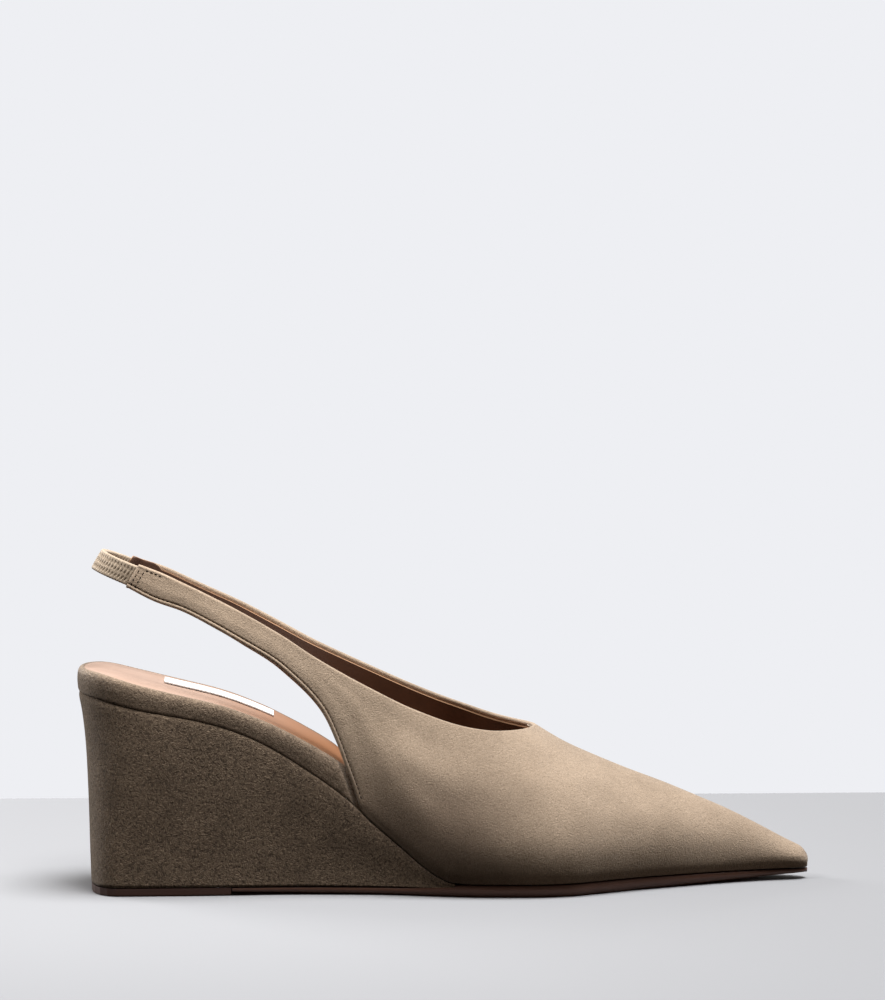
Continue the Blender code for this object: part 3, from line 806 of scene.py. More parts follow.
def dress(side):
    """Turned edges, the stitched groove, the padded strap and the soft forms of one side."""
    grid, normal = grids[side], normals[side]
    to_top, to_rear, to_foot, to_end = upper_fields(side)
    x = bare[side][..., 0] + LENGTH / 2
    low = bare[side][:, :1, 2]
    up = (bare[side][..., 2] - low) / np.maximum(bare[side][:, -1:, 2] - low, 1e-6)
    rise = -rounding(to_top) - rounding(to_rear) - FOOT_ROLL * rounding(to_foot)
    rise = np.maximum(rise, -ROLL)
    ahead = x / LENGTH
    rise += (1 - soft_step(ahead, *SEWN_END)) * pressed(to_rear, *SEWN_EDGE)
    rise += pressed(to_end, *TAB_ROWS)
    rise += (1 - soft_step(to_end, *TAB_RUN)) * pressed(to_end, TAB_SWELL)
    short = 1 - soft_step(to_end, TAB_TOP_RUN, TAB_TOP_RUN + TAB_TOP_FADE)
    rise += short * pressed(to_top, TAB_TOP_PRESS)
    rise += soft_step(to_foot, *FOOT_START) * pressed(to_foot, FOOT_SWELL)
    rise += (FULLNESS * (1 - np.exp(-to_foot / FULL_RUN)) * (1 - soft_step(up, *FULL_UP))
             * soft_step(to_top, 0.0, FULL_TOP) * soft_step(ahead, *FULL_START)
             * (1 - soft_step(ahead, *FULL_END)))
    edge_free = (soft_step(to_top, *FORMS_EDGE) * soft_step(to_foot, *FORMS_EDGE)
                 * (1 - soft_step(up, *FORMS_RIDGE)))
    for form in FORMS:
        if form.side != side:
            continue
        dx = x - form.along * LENGTH
        dz = (up - form.up) * FORM_HEIGHT
        a, b = cos(form.turn), sin(form.turn)
        along, across = dx * a + dz * b, dz * a - dx * b
        rise += form.height * edge_free * np.exp(-(along / form.length) ** 2
                                                 - (across / form.width) ** 2)
    grids[side] = grid + normal * rise[..., None]


for side in ("outer", "inner"):
    dress(side)
for column, row in MEETING:
    middle = (grids["outer"][column, row] + grids["inner"][column, row]) / 2
    grids["outer"][column, row] = grids["inner"][column, row] = middle


def under_rows(line, normal, off, turned):
    """Rows that carry an edge on round its roll and back under the sheet."""
    rows = []
    for k in range(1, 5):
        a = pi / 2 * k / 4
        rows.append(line - off * ROLL * (1 - cos(a)) - normal * ROLL * sin(a))
    for k in range(1, 4):
        rows.append(rows[3] - off * (turned - ROLL) * k / 3)
    return rows


def turned_strip(name, line, normal, inside, turned):
    """The suede turned in along an edge, as a sheet of its own."""
    off = edge_frame(line, normal, inside)
    return laid_grid(name, np.stack([line] + under_rows(line, normal, off, turned), axis=1))


def edge_path(side_columns, row, both_to):
    """An edge from the outer arm's end round to the inner arm's end, for any pair of grids."""
    outer, inner = side_columns["outer"], side_columns["inner"]
    return np.concatenate([outer[:both_to + 1, row], inner[both_to - 1::-1, row]])


def straightened(path_normals):
    """Normals along an edge, smoothed where the two sides meet."""
    smooth = path_normals.copy()
    for _ in range(3):
        smooth[1:-1] = unit(smooth[:-2] + smooth[1:-1] * 2 + smooth[2:])
    return smooth


def middle_line(x):
    """A point inside the shoe, at x in the frame, from which its sheets face away."""
    return world(x + LENGTH / 2, axis(x + LENGTH / 2), seam_floor(x + LENGTH / 2) + MIDDLE_UP)


last_column = grids["outer"].shape[0] - 1
side_sheets = [laid_grid("suede_" + side, grids[side]) for side in ("outer", "inner")]
top_strip = turned_strip("suede_top", edge_path(grids, -1, OPEN),
                         straightened(edge_path(normals, -1, OPEN)),
                         edge_path(grids, -6, OPEN), TURN_TOP)
low_strip = turned_strip("suede_low", edge_path(grids, 0, last_column),
                         straightened(edge_path(normals, 0, last_column)),
                         edge_path(grids, 6, last_column), TURN_LOW)
upper_suede = close_up(joined("upper_suede", side_sheets + [top_strip, low_strip]))
outward_faces(upper_suede, middle_line)
thicken(upper_suede, SUEDE)

# The lining lies behind the suede, its upper edge below the turned-in strip
EDGE_ROWS = 4             # rows at either edge that the lining does without
TONGUE_STEPS = 3          # columns added past the inner arm's end
lining_sheets = []
top_path = finer(edge_path(bare, -1, OPEN))
top_off = edge_frame(top_path, straightened(finer(edge_path(normals, -1, OPEN))),
                     finer(edge_path(bare, -6, OPEN)))
for side in ("outer", "inner"):
    base = bare[side]
    keep = [0, *range(EDGE_ROWS, base.shape[1] - EDGE_ROWS), base.shape[1] - 1]
    to_top, index = nearest(base, top_path)
    push = np.sqrt(to_top ** 2 + (TURN_TOP - 0.0002) ** 2) - to_top
    if side == "inner":
        push *= soft_step(upper_fields(side)[3], TONGUE_BARE - 0.0015, TONGUE_BARE)
    push *= soft_step(-to_top, -0.02, -0.004)
    moved = base - top_off[index] * push[..., None] - normals[side] * LINING_DEPTH
    moved = moved[:, keep]
    if side == "inner":
        ahead = unit(moved[0] - moved[1])
        trim = np.linspace(TONGUE_TRIM, TONGUE_UP, len(keep))[:, None] * (0, 0, 1)
        tongue = []
        for k in range(TONGUE_STEPS, 0, -1):
            bent = min(k / 2, 1)
            tongue.append(moved[0] + ahead * LINING_END * k / TONGUE_STEPS
                          - normals[side][0, keep] * TONGUE_IN * bent + trim * bent)
        moved = np.concatenate([np.stack(tongue), moved])
    lining_sheets.append(laid_grid("lining_" + side, moved))
upper_lining = close_up(joined("upper_lining", lining_sheets))
outward_faces(upper_lining, middle_line)


# How the plates' edges are drawn
CLEARANCE = WALL + 2 * GAP          # from the seam line to the platform inside the upper
STEP_PLACES = 4                     # steps over which the platform steps in there
RIM_TUCK = 0.0030                   # how far in the rim is folded under the platform
RIM_MIDDLE = 0.0014                 # inset of the line on which its underside closes
BOARD = LIP + 0.0002                # where the lip drops to the board under the insole
INSOLE_EDGE = LIP + 0.00025         # where the insole's own edge stands
INSOLE_PROFILE = (                  # way in from that edge, and rise
    (0.0, -0.00045), (0.00008, -0.00018), (0.00028, -0.00004), (0.0006, 0.0),
    (0.0012, 0.00008), (0.00165, 0.00008), (0.0019, -0.00005), (0.00215, 0.00009),
    (0.0030, 0.00022), (0.0045, 0.00036), (0.0065, 0.00052), (0.0090, 0.00066),
    (0.0125, 0.00078), (0.0170, INSOLE_CROWN),
)
END_ROUND = 0.004                   # rounding of the wedge's front and of the sole's rear end
SOLE_RAMP = 0.024                   # length over which the sole's edge thins under the wedge
SOLE_RAMP_BACK = 0.85               # share of it that lies behind the wedge's front
SOLE_PROUD = 0.00012                # how far the edge stands out past the wedge there
SOLE_SECTION = (                    # inset of the sole's edge, and share of its height
    (0.0030, 0.0), (0.0016, 0.02), (0.0007, 0.10), (0.0003, 0.24), (0.0001, 0.40),
    (0.0, 0.60), (0.0001, 0.85), (0.0003, 0.97), (0.0007, 1.0),
)


def spread(start, start_round, end, end_round, turns=18, run=120):
    """Places along a plate, closer together round its ends."""
    turn = [pi / 2 * k / turns for k in range(turns)]
    places = [start + start_round * (1 - cos(a)) for a in turn]
    length = end - end_round - start - start_round
    places += [start + start_round + length * k / run for k in range(run + 1)]
    return places + [end - end_round * (1 - cos(a)) for a in reversed(turn)]


def closed_ring(places, width, height):
    """One level of a plate as a closed row of points, back to front and back again."""
    points = [world(x, axis(x) - width("outer", x), height(x)) for x in places]
    points += [world(x, axis(x) + width("inner", x), height(x)) for x in reversed(places)]
    return points + [points[0]]


def platform_places(height_share, inset):
    """Places along the platform, some of them drawn to where it steps inside the upper."""
    places = spread(inset, HEEL_ROUND, tip_of(CLEARANCE + inset), TOE_ROUND)
    step = step_in(height_share)
    near = min(range(len(places)), key=lambda k: abs(places[k] - step))
    last = near + STEP_PLACES
    for k in range(near, last + 1):
        places[k] = step + STEP_IN * (k - near) / STEP_PLACES
    for k in range(last + 1, len(places)):
        if places[k] <= places[last]:
            places[k] = places[last] + 0.00001 * (k - near)
    return places


def platform_level(height_share, inset, rise=0.0, shut=False):
    """A level of the platform or the insole; rise lifts it, and shut draws it to the axis."""
    places = platform_places(height_share, inset)

    def width(side, x):
        """Distance from the axis to the platform's side."""
        if shut:
            return 0.0
        return max(inset_edge(side, x, inset + CLEARANCE * cover(x, height_share)), 0.0)

    def height(x):
        """Height of the level, from the seam up to the rim's top."""
        low = seam_floor(x) + GAP / 2
        return low + (rim_top(x) - low) * height_share + rise
    return closed_ring(places, width, height)


def plate_piece(name, levels):
    """A plate's levels as one closed piece."""
    return close_up(laid_grid(name, np.stack([np.array(level) for level in levels], axis=1)))


def row_steps(rows, per_row):
    """A table's rows with more rows between them, on a smooth curve."""
    count = (len(rows) - 1) * per_row
    return [row_point(rows, k / per_row) for k in range(count + 1)]


def make_platform():
    """Suede-wrapped platform: a rounded rim, its lip and the board that the insole lies on."""
    levels = [platform_level(0.0, RIM_MIDDLE, shut=True), platform_level(0.0, RIM_TUCK)]
    levels += [platform_level(row.height, row.inset * (0.4 + 0.6 * smoothstep(row.height / 0.3)))
               for row in row_steps(RIM_SECTION, 4)]
    levels += [platform_level(1.0, LIP), platform_level(1.0, LIP + 0.00015, -0.0004),
               platform_level(1.0, BOARD, -INSOLE - GAP),
               platform_level(1.0, BOARD, -INSOLE - GAP, shut=True)]
    return plate_piece("platform_suede", levels)


def make_insole():
    """Leather insole: rounded edge, a pressed line near it and a soft crown."""
    levels = [platform_level(1.0, INSOLE_EDGE, -INSOLE, shut=True),
              platform_level(1.0, INSOLE_EDGE, -INSOLE)]
    levels += [platform_level(1.0, INSOLE_EDGE + inset, rise) for inset, rise in INSOLE_PROFILE]
    inset, rise = INSOLE_PROFILE[-1]
    levels.append(platform_level(1.0, INSOLE_EDGE + inset, rise, shut=True))
    return plate_piece("insole_leather", levels)


def make_wedge():
    """Heel block: square at its foot, round at the seat, and turned in a little at the seam."""
    foot = wedge_foot()

    def level(row, shut=False):
        """One level of the heel; shut draws it to the axis."""
        share = min(max(row.height, 0.0), 1.0)
        turn = row.turn * (1 - 0.6 * smoothstep((share - 0.8) / 0.1))
        back = HEEL_FOOT_BACK * row.back + turn
        round_length = HEEL_FOOT_ROUND + (HEEL_ROUND - HEEL_FOOT_ROUND) * share
        power = FOOT_POWER + (SEAT_POWER - FOOT_POWER) * share
        places = spread(back, round_length, WEDGE_FRONT, END_ROUND, run=90)

        def width(side, x):
            """Distance from the axis to the heel's side."""
            if shut:
                return 0.0
            at_seam = side_width(side, x)
            at_foot = at_seam - HEEL_FOOT_INSET * (1 - smoothstep(
                (x / LENGTH - CORNER) / (BALL_START - CORNER)))
            across = at_foot + (at_seam - at_foot) * smoothstep(share) - turn
            return across * rounded(x - back, round_length, power)

        return closed_ring(places, width, lambda x: foot + (seam(x) - GAP / 2 - foot) * share)

    rows = row_steps(HEEL, 7)
    levels = [level(rows[0], True)] + [level(row) for row in rows] + [level(rows[-1], True)]
    return plate_piece("wedge_suede", levels)


def make_sole():
    """Leather sole, its edge growing out from under the wedge into the forepart."""
    start = HEEL_FOOT_BACK + TOP_PIECE_LENGTH + GAP
    places = spread(start, END_ROUND, LENGTH, TOE_ROUND)

    def level(inset, rise, shut=False):
        """One level of the sole; shut draws it to the axis."""
        def width(side, x):
            """Distance from the axis to the sole's edge."""
            if shut:
                return 0.0
            proud = SOLE_PROUD * smoothstep((x - WEDGE_FRONT + SOLE_RAMP) / SOLE_RAMP)
            edge = foot_edge(side, x)
            return edge - min(inset, edge / 2) + proud * rounded(LENGTH - x, TOE_ROUND)

        def height(x):
            """Height of the level, from the sole's underside to its top."""
            low = outsole_under(x)
            ramp = smoothstep((x - WEDGE_FRONT + SOLE_RAMP * SOLE_RAMP_BACK) / SOLE_RAMP)
            return low + (outsole_top(x, ramp) - low) * rise
        return closed_ring(places, width, height)

    levels = [level(*row) for row in SOLE_SECTION]
    return plate_piece("sole_leather", [level(*SOLE_SECTION[0], True), *levels,
                                        level(*SOLE_SECTION[-1], True)])


ELASTIC_RIB = 0.0013      # spacing of the gathers along the elastic
ELASTIC_TUCK = 0.0022     # how far its ends run on under the tabs
ELASTIC_TUCKED = 0.0005   # thickness of the ends, pressed flat there
ELASTIC_UNDER = 0.00078   # depth of the ends' middle under the tabs' face
ELASTIC_INSET = 0.00112   # and of the band's own middle
ELASTIC_STATIONS = 300    # steps round the loop
ELASTIC_ACROSS = 20       # steps across each face of the band
TUCK_STEPS = 6            # steps of an end under its tab
EDGE_STEPS = 5            # steps round each edge of the band
GATHER = 0.00042          # depth of a gather
PLUMP = 0.00010           # how far the band swells along its middle
BORDER = 0.82             # share of the half width where the smooth borders start
BORDER_FADE = 0.2         # and over which the gathers fade towards them
BORDER_THIN = 0.00022     # how much thinner the band is along its very edges


def elastic_loop():
    """The elastic's middle line, from under one tab round to the other, and its lean there."""
    low = upper_point("outer", REAR_EDGE[0].along * LENGTH,
                      corner_height() + (arm_top() - corner_height()) * REAR_EDGE[0].height)
    high = upper_point("outer", REAR_EDGE[0].across * LENGTH, arm_top())
    middle = (low + high) / 2
    across = (high - low).normalized()
    path, leans = [], []
    for k in range(ELASTIC_STATIONS + 1):
        turn = -pi / 2 + pi * k / ELASTIC_STATIONS
        back = cos(turn)
        path.append(Vector((middle.x - 1.5 * GAP - ELASTIC_REACH * back, -middle.y * sin(turn),
                            middle.z + ELASTIC_RISE * back)))
        leans.append(Vector((across.x, -across.y * sin(turn), across.z)).normalized())
    for end, step in ((0, 1), (-1, -2)):
        way = (path[end] - path[step]).normalized()
        more = [path[end] + way * ELASTIC_TUCK * (k + 1) / TUCK_STEPS for k in range(TUCK_STEPS)]
        lean = [leans[end]] * TUCK_STEPS
        if end == 0:
            path, leans = more[::-1] + path, lean + leans
        else:
            path, leans = path + more, leans + lean
    return np.array(path), np.array(leans)


def elastic_section():
    """The band's section, as shares of its half width and half thickness."""
    face = [(-1 + 2 * k / ELASTIC_ACROSS, 1.0) for k in range(ELASTIC_ACROSS + 1)]
    face += [(1.0 + 0.0001 * sin(pi * k / EDGE_STEPS), cos(pi * k / EDGE_STEPS))
             for k in range(1, EDGE_STEPS)]
    return face + [(-w, -t) for w, t in face] + [face[0]]


def make_elastic():
    """The gathered elastic behind the heel: smooth borders and ribs drawn in between them."""
    path, leans = elastic_loop()
    section = elastic_section()
    outwards = unit(np.cross(leans, unit(np.gradient(path, axis=0))))
    outwards[((path - path.mean(0)) * outwards).sum(1) < 0] *= -1
    run = np.concatenate(([0], np.cumsum(np.linalg.norm(np.diff(path, axis=0), axis=1))))
    turns = 2 * pi * run / ELASTIC_RIB
    grid = np.empty((len(path), len(section), 3))
    ends = np.minimum(run - ELASTIC_TUCK, run[-1] - ELASTIC_TUCK - run)
    gathers = soft_step(ends, -0.0002, 0.0004)
    under = soft_step(ends, -0.0008, 0.0002)
    inset = ELASTIC_UNDER + (ELASTIC_INSET - ELASTIC_UNDER) * under
    for j, (w, t) in enumerate(section):
        border = min(max((BORDER - abs(w)) / BORDER_FADE, 0.0), 1.0)
        lean_in = 3.4 * abs((w + 1) * 1.5 % 1 - 0.5) + 0.6 * w
        wave = 0.5 + 0.5 * np.cos(turns + lean_in)
        drop = GATHER * (1 - wave) ** 2 * (0.70 + 0.30 * cos(w * 12.6)) * border
        depth = ELASTIC / 2 - BORDER_THIN * (abs(w) > 0.97) + PLUMP * (1 - w * w) - drop * gathers
        depth = ELASTIC_TUCKED / 2 + (depth - ELASTIC_TUCKED / 2) * under
        edge = ELASTIC_WIDTH / 2 * w * (1 - 0.010 * (1 + np.cos(turns)) * gathers)
        grid[:, j] = path + leans * edge[:, None] + outwards * (t * depth - inset)[:, None]
    first, last = (np.repeat(grid[i].mean(0)[None, None], len(section), axis=1) for i in (0, -1))
    return close_up(laid_grid("elastic_gathered", np.concatenate([first, grid, last])))


STITCH_LENGTH = 0.00105
STITCH_WIDTH = 0.00040
STITCH_UP = 0.00002       # how far a stitch's middle lies above the suede
TAB_COLUMNS = 24          # columns at an arm's end that hold the tab's rows


def one_stitch():
    """A stitch as a fat thread with rounded ends, 1 long and 1 thick, lying along X."""
    deselect()
    bpy.ops.mesh.primitive_uv_sphere_add(segments=6, ring_count=6, radius=0.5,
                                         rotation=(0, pi / 2, 0))
    bead = bpy.context.object
    bpy.ops.object.transform_apply(rotation=True)
    points = np.array([v.co for v in bead.data.vertices])
    faces = [tuple(face.vertices) for face in bead.data.polygons]
    bpy.data.objects.remove(bead)
    points[:, 0] = np.sign(points[:, 0]) * np.abs(points[:, 0] * 2) ** 0.6 / 2
    return points, faces


def sew(name, rows):
    """Copies of the stitch laid along rows of places and their normals."""
    bead, bead_faces = one_stitch()
    verts, faces = [], []
    for places, ups in rows:
        run = np.concatenate(([0], np.cumsum(np.linalg.norm(np.diff(places, axis=0), axis=1))))
        for d in np.arange(STITCH_STEP * 0.5, run[-1] - STITCH_STEP * 0.3, STITCH_STEP):
            spot = np.array([np.interp(d, run, places[:, k]) for k in range(3)])
            up = unit(np.array([np.interp(d, run, ups[:, k]) for k in range(3)]))
            ahead = np.array([np.interp(d + 1e-4, run, places[:, k]) for k in range(3)]) - spot
            ahead = unit(ahead - up * (ahead @ up))
            side = np.cross(up, ahead)
            base = len(verts)
            size = bead * (STITCH_LENGTH, STITCH_WIDTH, STITCH_WIDTH * 0.8)
            verts.extend(spot + size[:, :1] * ahead + size[:, 1:2] * side + size[:, 2:] * up)
            faces.extend(tuple(base + k for k in face) for face in bead_faces)
    mesh = bpy.data.meshes.new(name)
    mesh.from_pydata([tuple(v) for v in verts], [], faces)
    piece = bpy.data.objects.new(name, mesh)
    bpy.context.scene.collection.objects.link(piece)
    pick(piece)
    bpy.ops.object.shade_smooth()
    return piece


def crossing(side, lines, field, level):
    """On each line of points, the first place where a field reaches a level, and its normal."""
    places, ups = [], []
    for line in lines:
        for near, far in zip(line, line[1:]):
            one, two = field[near], field[far]
            if (one - level) * (two - level) <= 0 and one != two:
                t = (level - one) / (two - one)
                places.append(grids[side][near] * (1 - t) + grids[side][far] * t)
                ups.append(normals[side][near])
                break
    return np.array(places) + np.array(ups) * STITCH_UP, np.array(ups)


def make_stitches():
    """Topstitching along the rear edges, two rows across each tab and a short one on top."""
    rows = []
    for side in ("outer", "inner"):
        to_top, to_rear, _, to_end = upper_fields(side)
        height = to_end.shape[1]
        columns = [[(i, j) for j in range(height)] for i in range(FAN)]
        rows.append(crossing(side, columns[2:FAN - 1], to_rear, STITCH_LINE))
        short = [column for column in columns if TAB_ROW_FAR < to_end[column[-1]] < TAB_TOP_RUN]
        rows.append(crossing(side, short, to_top, TAB_TOP_LINE))
        across = [[(i, j) for i in range(TAB_COLUMNS)] for j in range(7, height - 5)]
        for level in (TAB_ROW_NEAR, TAB_ROW_FAR):
            rows.append(crossing(side, across, to_end, level))
    return sew("upper_stitching", rows)


platform_suede = make_platform()
insole_leather = make_insole()
wedge_suede = make_wedge()
sole_leather = make_sole()
elastic_gathered = make_elastic()
upper_stitching = make_stitches()


class Value:
    """A socket that takes part in plain arithmetic."""

    def __init__(self, look, socket):
        self.look, self.socket = look, socket

    def _with(self, operation, other, swapped=False):
        """The Math node that puts this value and another together."""
        pair = [other, self] if swapped else [self, other]
        return self.look.node("ShaderNodeMath", {"operation": operation}, pair)

    def __add__(self, other):
        return self._with("ADD", other)

    __radd__ = __add__

    def __sub__(self, other):
        return self._with("SUBTRACT", other)

    def __rsub__(self, other):
        return self._with("SUBTRACT", other, True)

    def __mul__(self, other):
        return self._with("MULTIPLY", other)

    __rmul__ = __mul__

    def between(self, low, high):
        """0 under low and 1 above high, on a smooth slope."""
        return self.look.node("ShaderNodeMapRange", {"interpolation_type": "SMOOTHSTEP"},
                              {"Value": self, "From Min": low, "From Max": high})


class Look:
    """A material or a world, its nodes added one call at a time."""

    def __init__(self, owner):
        owner.use_nodes = True
        self.owner, self.tree = owner, owner.node_tree

    def node(self, kind, settings=None, values=(), out=0):
        """A new node with its settings and its sockets' values or links."""
        made = self.tree.nodes.new(kind)
        for key, value in (settings or {}).items():
            setattr(made, key, value)
        pairs = values.items() if isinstance(values, dict) else enumerate(values)
        for key, value in pairs:
            self.put(made.inputs[key], value)
        return Value(self, made.outputs[out])

    def put(self, socket, value):
        """A link or a plain number or colour on a socket."""
        if isinstance(value, Value):
            self.tree.links.new(value.socket, socket)
        elif socket.type == "RGBA" and len(value) == 3:
            socket.default_value = (*value, 1)
        else:
            socket.default_value = value

    def noise(self, place, scale, detail=2.0, rough=0.5, colour=False):
        """Noise as a value, or as a colour whose channels differ."""
        return self.node("ShaderNodeTexNoise", {"noise_type": "FBM"},
                         {"Vector": place, "Scale": scale, "Detail": detail, "Roughness": rough},
                         1 if colour else 0)

    def split(self, place, axis_index):
        """One coordinate of a place: 0 to the toe, 2 up."""
        return self.node("ShaderNodeSeparateXYZ", None, [place], axis_index)

    def bumped(self, height, strength, lift):
        """A normal from a height between 0 and 1 that lifts the surface by lift metres."""
        return self.node("ShaderNodeBump", None, {"Strength": strength, "Distance": lift,
                                                  "Height": height})

    def shifted(self, place, by, amount):
        """A place moved by a colour noise, amount metres at the most."""
        centred = self.node("ShaderNodeVectorMath", {"operation": "SUBTRACT"},
                            [by, (0.5, 0.5, 0.5)])
        scaled = self.node("ShaderNodeVectorMath", {"operation": "SCALE"},
                           {"Vector": centred, "Scale": amount})
        return self.node("ShaderNodeVectorMath", {"operation": "ADD"}, [place, scaled])

    def mix(self, share, one, other, blend="MIX"):
        """Two colours mixed; the node has such sockets for every kind of value."""
        made = self.tree.nodes.new("ShaderNodeMix")
        made.data_type, made.blend_type = "RGBA", blend
        self.put(made.inputs["Factor"], share)
        self.put(made.inputs[6], one)
        self.put(made.inputs[7], other)
        return Value(self, made.outputs[2])


def finished(name, constants, varying):
    """A Principled material: constants on its own sockets, varying from varying(look, place)."""
    material = bpy.data.materials.new(name)
    look = Look(material)
    shader = look.tree.nodes["Principled BSDF"]
    for key, value in constants.items():
        look.put(shader.inputs[key], value)
    place = look.node("ShaderNodeTexCoord", out=3)
    for key, value in varying(look, place).items():
        look.put(shader.inputs[key], value)
    return material


HAIRS = ((0.6, 0.62, 0.0), (0.4, 0.95, 3.1))        # share, size and place of two layers
# Painted shade: the upper's colour is darkened low on the wing and waist, behind and below these
# places
PAINTED_SHADE_ALONG = (-0.002, 0.040)                       # where the waist's tone ends, to the toe
PAINTED_SHADE_UP = (0.020, 0.056)                           # and upwards
# The insole's paler tone behind this change is in part painted reflection of its gloss
BACK_TO_FRONT = (-0.09, -0.045)                     # where the insole's tone changes


def suede(name, dark, light, fibre, lift, patch, patch_strength, hairiness=0.4, roughness=0.93,
          sheen=0.3, waist=None):
    """Napped suede: fibre is the nap's size in metres, lift the height of the bump's hairs.

    waist is a colour multiplied into the tone low on the wing and waist, towards the wedge:
    painted shade where the upper turns under.
    """
    def varying(look, place):
        """Short hairs that cross each other, brushed three ways, over darker gaps."""
        swirl = look.noise(place, 0.22 / fibre, 1.0, colour=True)
        brushed = look.shifted(place, swirl, fibre * 2.6)
        nap = look.noise(brushed, 0.9 / fibre, 3.0, 0.65)
        hairs = 0
        for share, scale, away in HAIRS:
            moved = look.node("ShaderNodeVectorMath", {"operation": "ADD"},
                              [brushed, (away, away * 0.7, -away)])
            line = look.noise(moved, scale / fibre, 1.5, 0.5) - 0.5
            line = look.node("ShaderNodeMath", {"operation": "ABSOLUTE"}, [line])
            hairs = (1 - line.between(0.0, 0.085)) * share + hairs
        gap = look.noise(place, 0.5 / fibre, 2.0, 0.6).between(0.34, 0.52)
        lie = look.noise(place, 0.10 / fibre, 1.0)
        more, most = lie.between(0.44, 0.50), lie.between(0.50, 0.56)
        strands = 0
        for turn, lies_here in ((0.3, most), (1.5, 1 - more), (-0.8, more * (1 - most))):
            laid = look.node("ShaderNodeMapping", {"vector_type": "TEXTURE"},
                             {"Vector": brushed, "Rotation": (0, turn, 0.3), "Scale": (3.6, 1, 1)})
            strands = look.noise(laid, 1.5 / fibre, 1.0).between(0.52, 0.66) * lies_here + strands
        broad = look.noise(place, 1 / patch, 3.0, 0.6)
        tone = look.mix(nap.between(0.30, 0.70), dark, light)
        tone = look.mix((hairs * 0.35 + strands * 0.65) * hairiness, tone,
                        [min(c * 1.7, 1) for c in light])
        tone = look.mix((1 - gap) * hairiness * 0.7, tone, [c * 0.55 for c in dark])
        tone = look.mix(broad.between(0.35, 0.68) * patch_strength, tone,
                        [c * 0.70 for c in dark])
        # painted shade: the colour is multiplied darker low on the wing and waist, near the wedge
        if waist:
            ahead = look.split(place, 0).between(*PAINTED_SHADE_ALONG)
            up = look.split(place, 2).between(*PAINTED_SHADE_UP)
            tone = look.mix((1 - ahead) * (1 - up), tone, waist, "MULTIPLY")
        height = nap * 0.30 + hairs * 0.15 + strands * 0.40 + gap * 0.25
        return {"Base Color": tone, "Normal": look.bumped(height, 0.9, lift),
                "Roughness": roughness - 0.08 * nap}
    return finished(name, {"Specular IOR Level": 0.16, "Sheen Weight": sheen,
                           "Sheen Roughness": 0.4, "Sheen Tint": (1.0, 0.95, 0.90)}, varying)


def leather(name, dark, light, grain, lift, roughness, coat=0.0, streak=0.0, ahead=None):
    """Smooth leather with a fine grain; streak draws its tone out along the shoe.

    ahead is the tone that it takes towards the toe.
    """
    def varying(look, place):
        """Fine cells under a tone that changes slowly along the shoe."""
        drawn = look.node("ShaderNodeMapping", {"vector_type": "POINT"},
                          {"Vector": place, "Scale": (1 - streak, 1, 1)})
        cells = look.node("ShaderNodeTexVoronoi", {"feature": "DISTANCE_TO_EDGE"},
                          {"Vector": place, "Scale": 1 / grain})
        broad = look.noise(drawn, 90.0, 4.0, 0.6)
        fine = look.noise(drawn, 900.0, 2.0, 0.5)
        tone = look.mix(broad.between(0.3, 0.7) * 0.7 + fine * 0.3, dark, light)
        if ahead:
            tone = look.mix(look.split(place, 0).between(*BACK_TO_FRONT) * 0.85, tone, ahead)
        height = cells.between(0.0, 0.18) * 0.5 + fine * 0.5
        return {"Base Color": tone, "Normal": look.bumped(height, 0.5, lift),
                "Roughness": roughness + 0.15 * broad}
    return finished(name, {"Specular IOR Level": 0.45, "Coat Weight": coat,
                           "Coat Roughness": 0.35}, varying)


# waist darkens the upper's colour low near the wedge: painted shade
upper_look = suede("suede", (0.418, 0.310, 0.219), (0.573, 0.443, 0.331), 0.00034, 0.00020,
                   0.016, 0.28, 0.40, sheen=0.45, waist=(0.44, 0.42, 0.41))
elastic_look = suede("elastic_suede", (0.42, 0.33, 0.24), (0.58, 0.47, 0.36), 0.0005, 0.00012,
                     0.006, 0.12, 0.2)
# The platform's and the wedge's suede is darker than the upper's: in part a darker suede, in part
# painted shade on their upright sides
band_look = suede("platform_suede", (0.165, 0.12, 0.083), (0.41, 0.305, 0.222), 0.00046, 0.00032,
                  0.010, 0.25, 0.7, sheen=0.4)
wedge_look = suede("wedge_suede", (0.14, 0.10, 0.069), (0.34, 0.252, 0.179), 0.00050, 0.00036,
                   0.012, 0.3, 0.85, sheen=0.3)
thread_look = suede("thread", (0.020, 0.013, 0.009), (0.045, 0.03, 0.02), 0.0002, 0.00003,
                    0.004, 0.1, 0.1, sheen=0.1)
lining_look = leather("lining", (0.068, 0.030, 0.016), (0.095, 0.043, 0.023), 0.0006, 0.00002, 0.5)
lining_cut_look = leather("lining_cut", (0.40, 0.215, 0.115), (0.50, 0.28, 0.15), 0.0004, 0.00003,
                          0.55)
# The insole is paler and pinker at the heel end, in part painted reflection of its gloss there,
# and turns tan towards the toe
insole_look = leather("insole_leather", (0.47, 0.31, 0.23), (0.56, 0.39, 0.31), 0.0005, 0.000015,
                      0.32, 0.25, 0.6, ahead=(0.37, 0.150, 0.055))
patch_look = leather("patch", (0.80, 0.80, 0.80), (0.86, 0.86, 0.86), 0.0008, 0.00001, 0.5)
sole_look = leather("sole_leather", (0.095, 0.036, 0.019), (0.130, 0.052, 0.027), 0.0005, 0.00003,
                    0.40, 0.15, 0.9)
top_piece_look = leather("top_piece", (0.060, 0.023, 0.013), (0.085, 0.033, 0.019), 0.0005,
                         0.00003, 0.5, 0.0, 0.9)


def dressed(piece, look, slot, *nodes):
    """A new piece gets its material, rides on the shoe and stands for its solids."""
    if look:
        piece.data.materials.append(look)
    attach(piece, "root")
    if nodes:
        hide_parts(*nodes)


upper_lining.data.materials.append(lining_look)
upper_lining.data.materials.append(lining_cut_look)
thicken(upper_lining, LINING, 1)

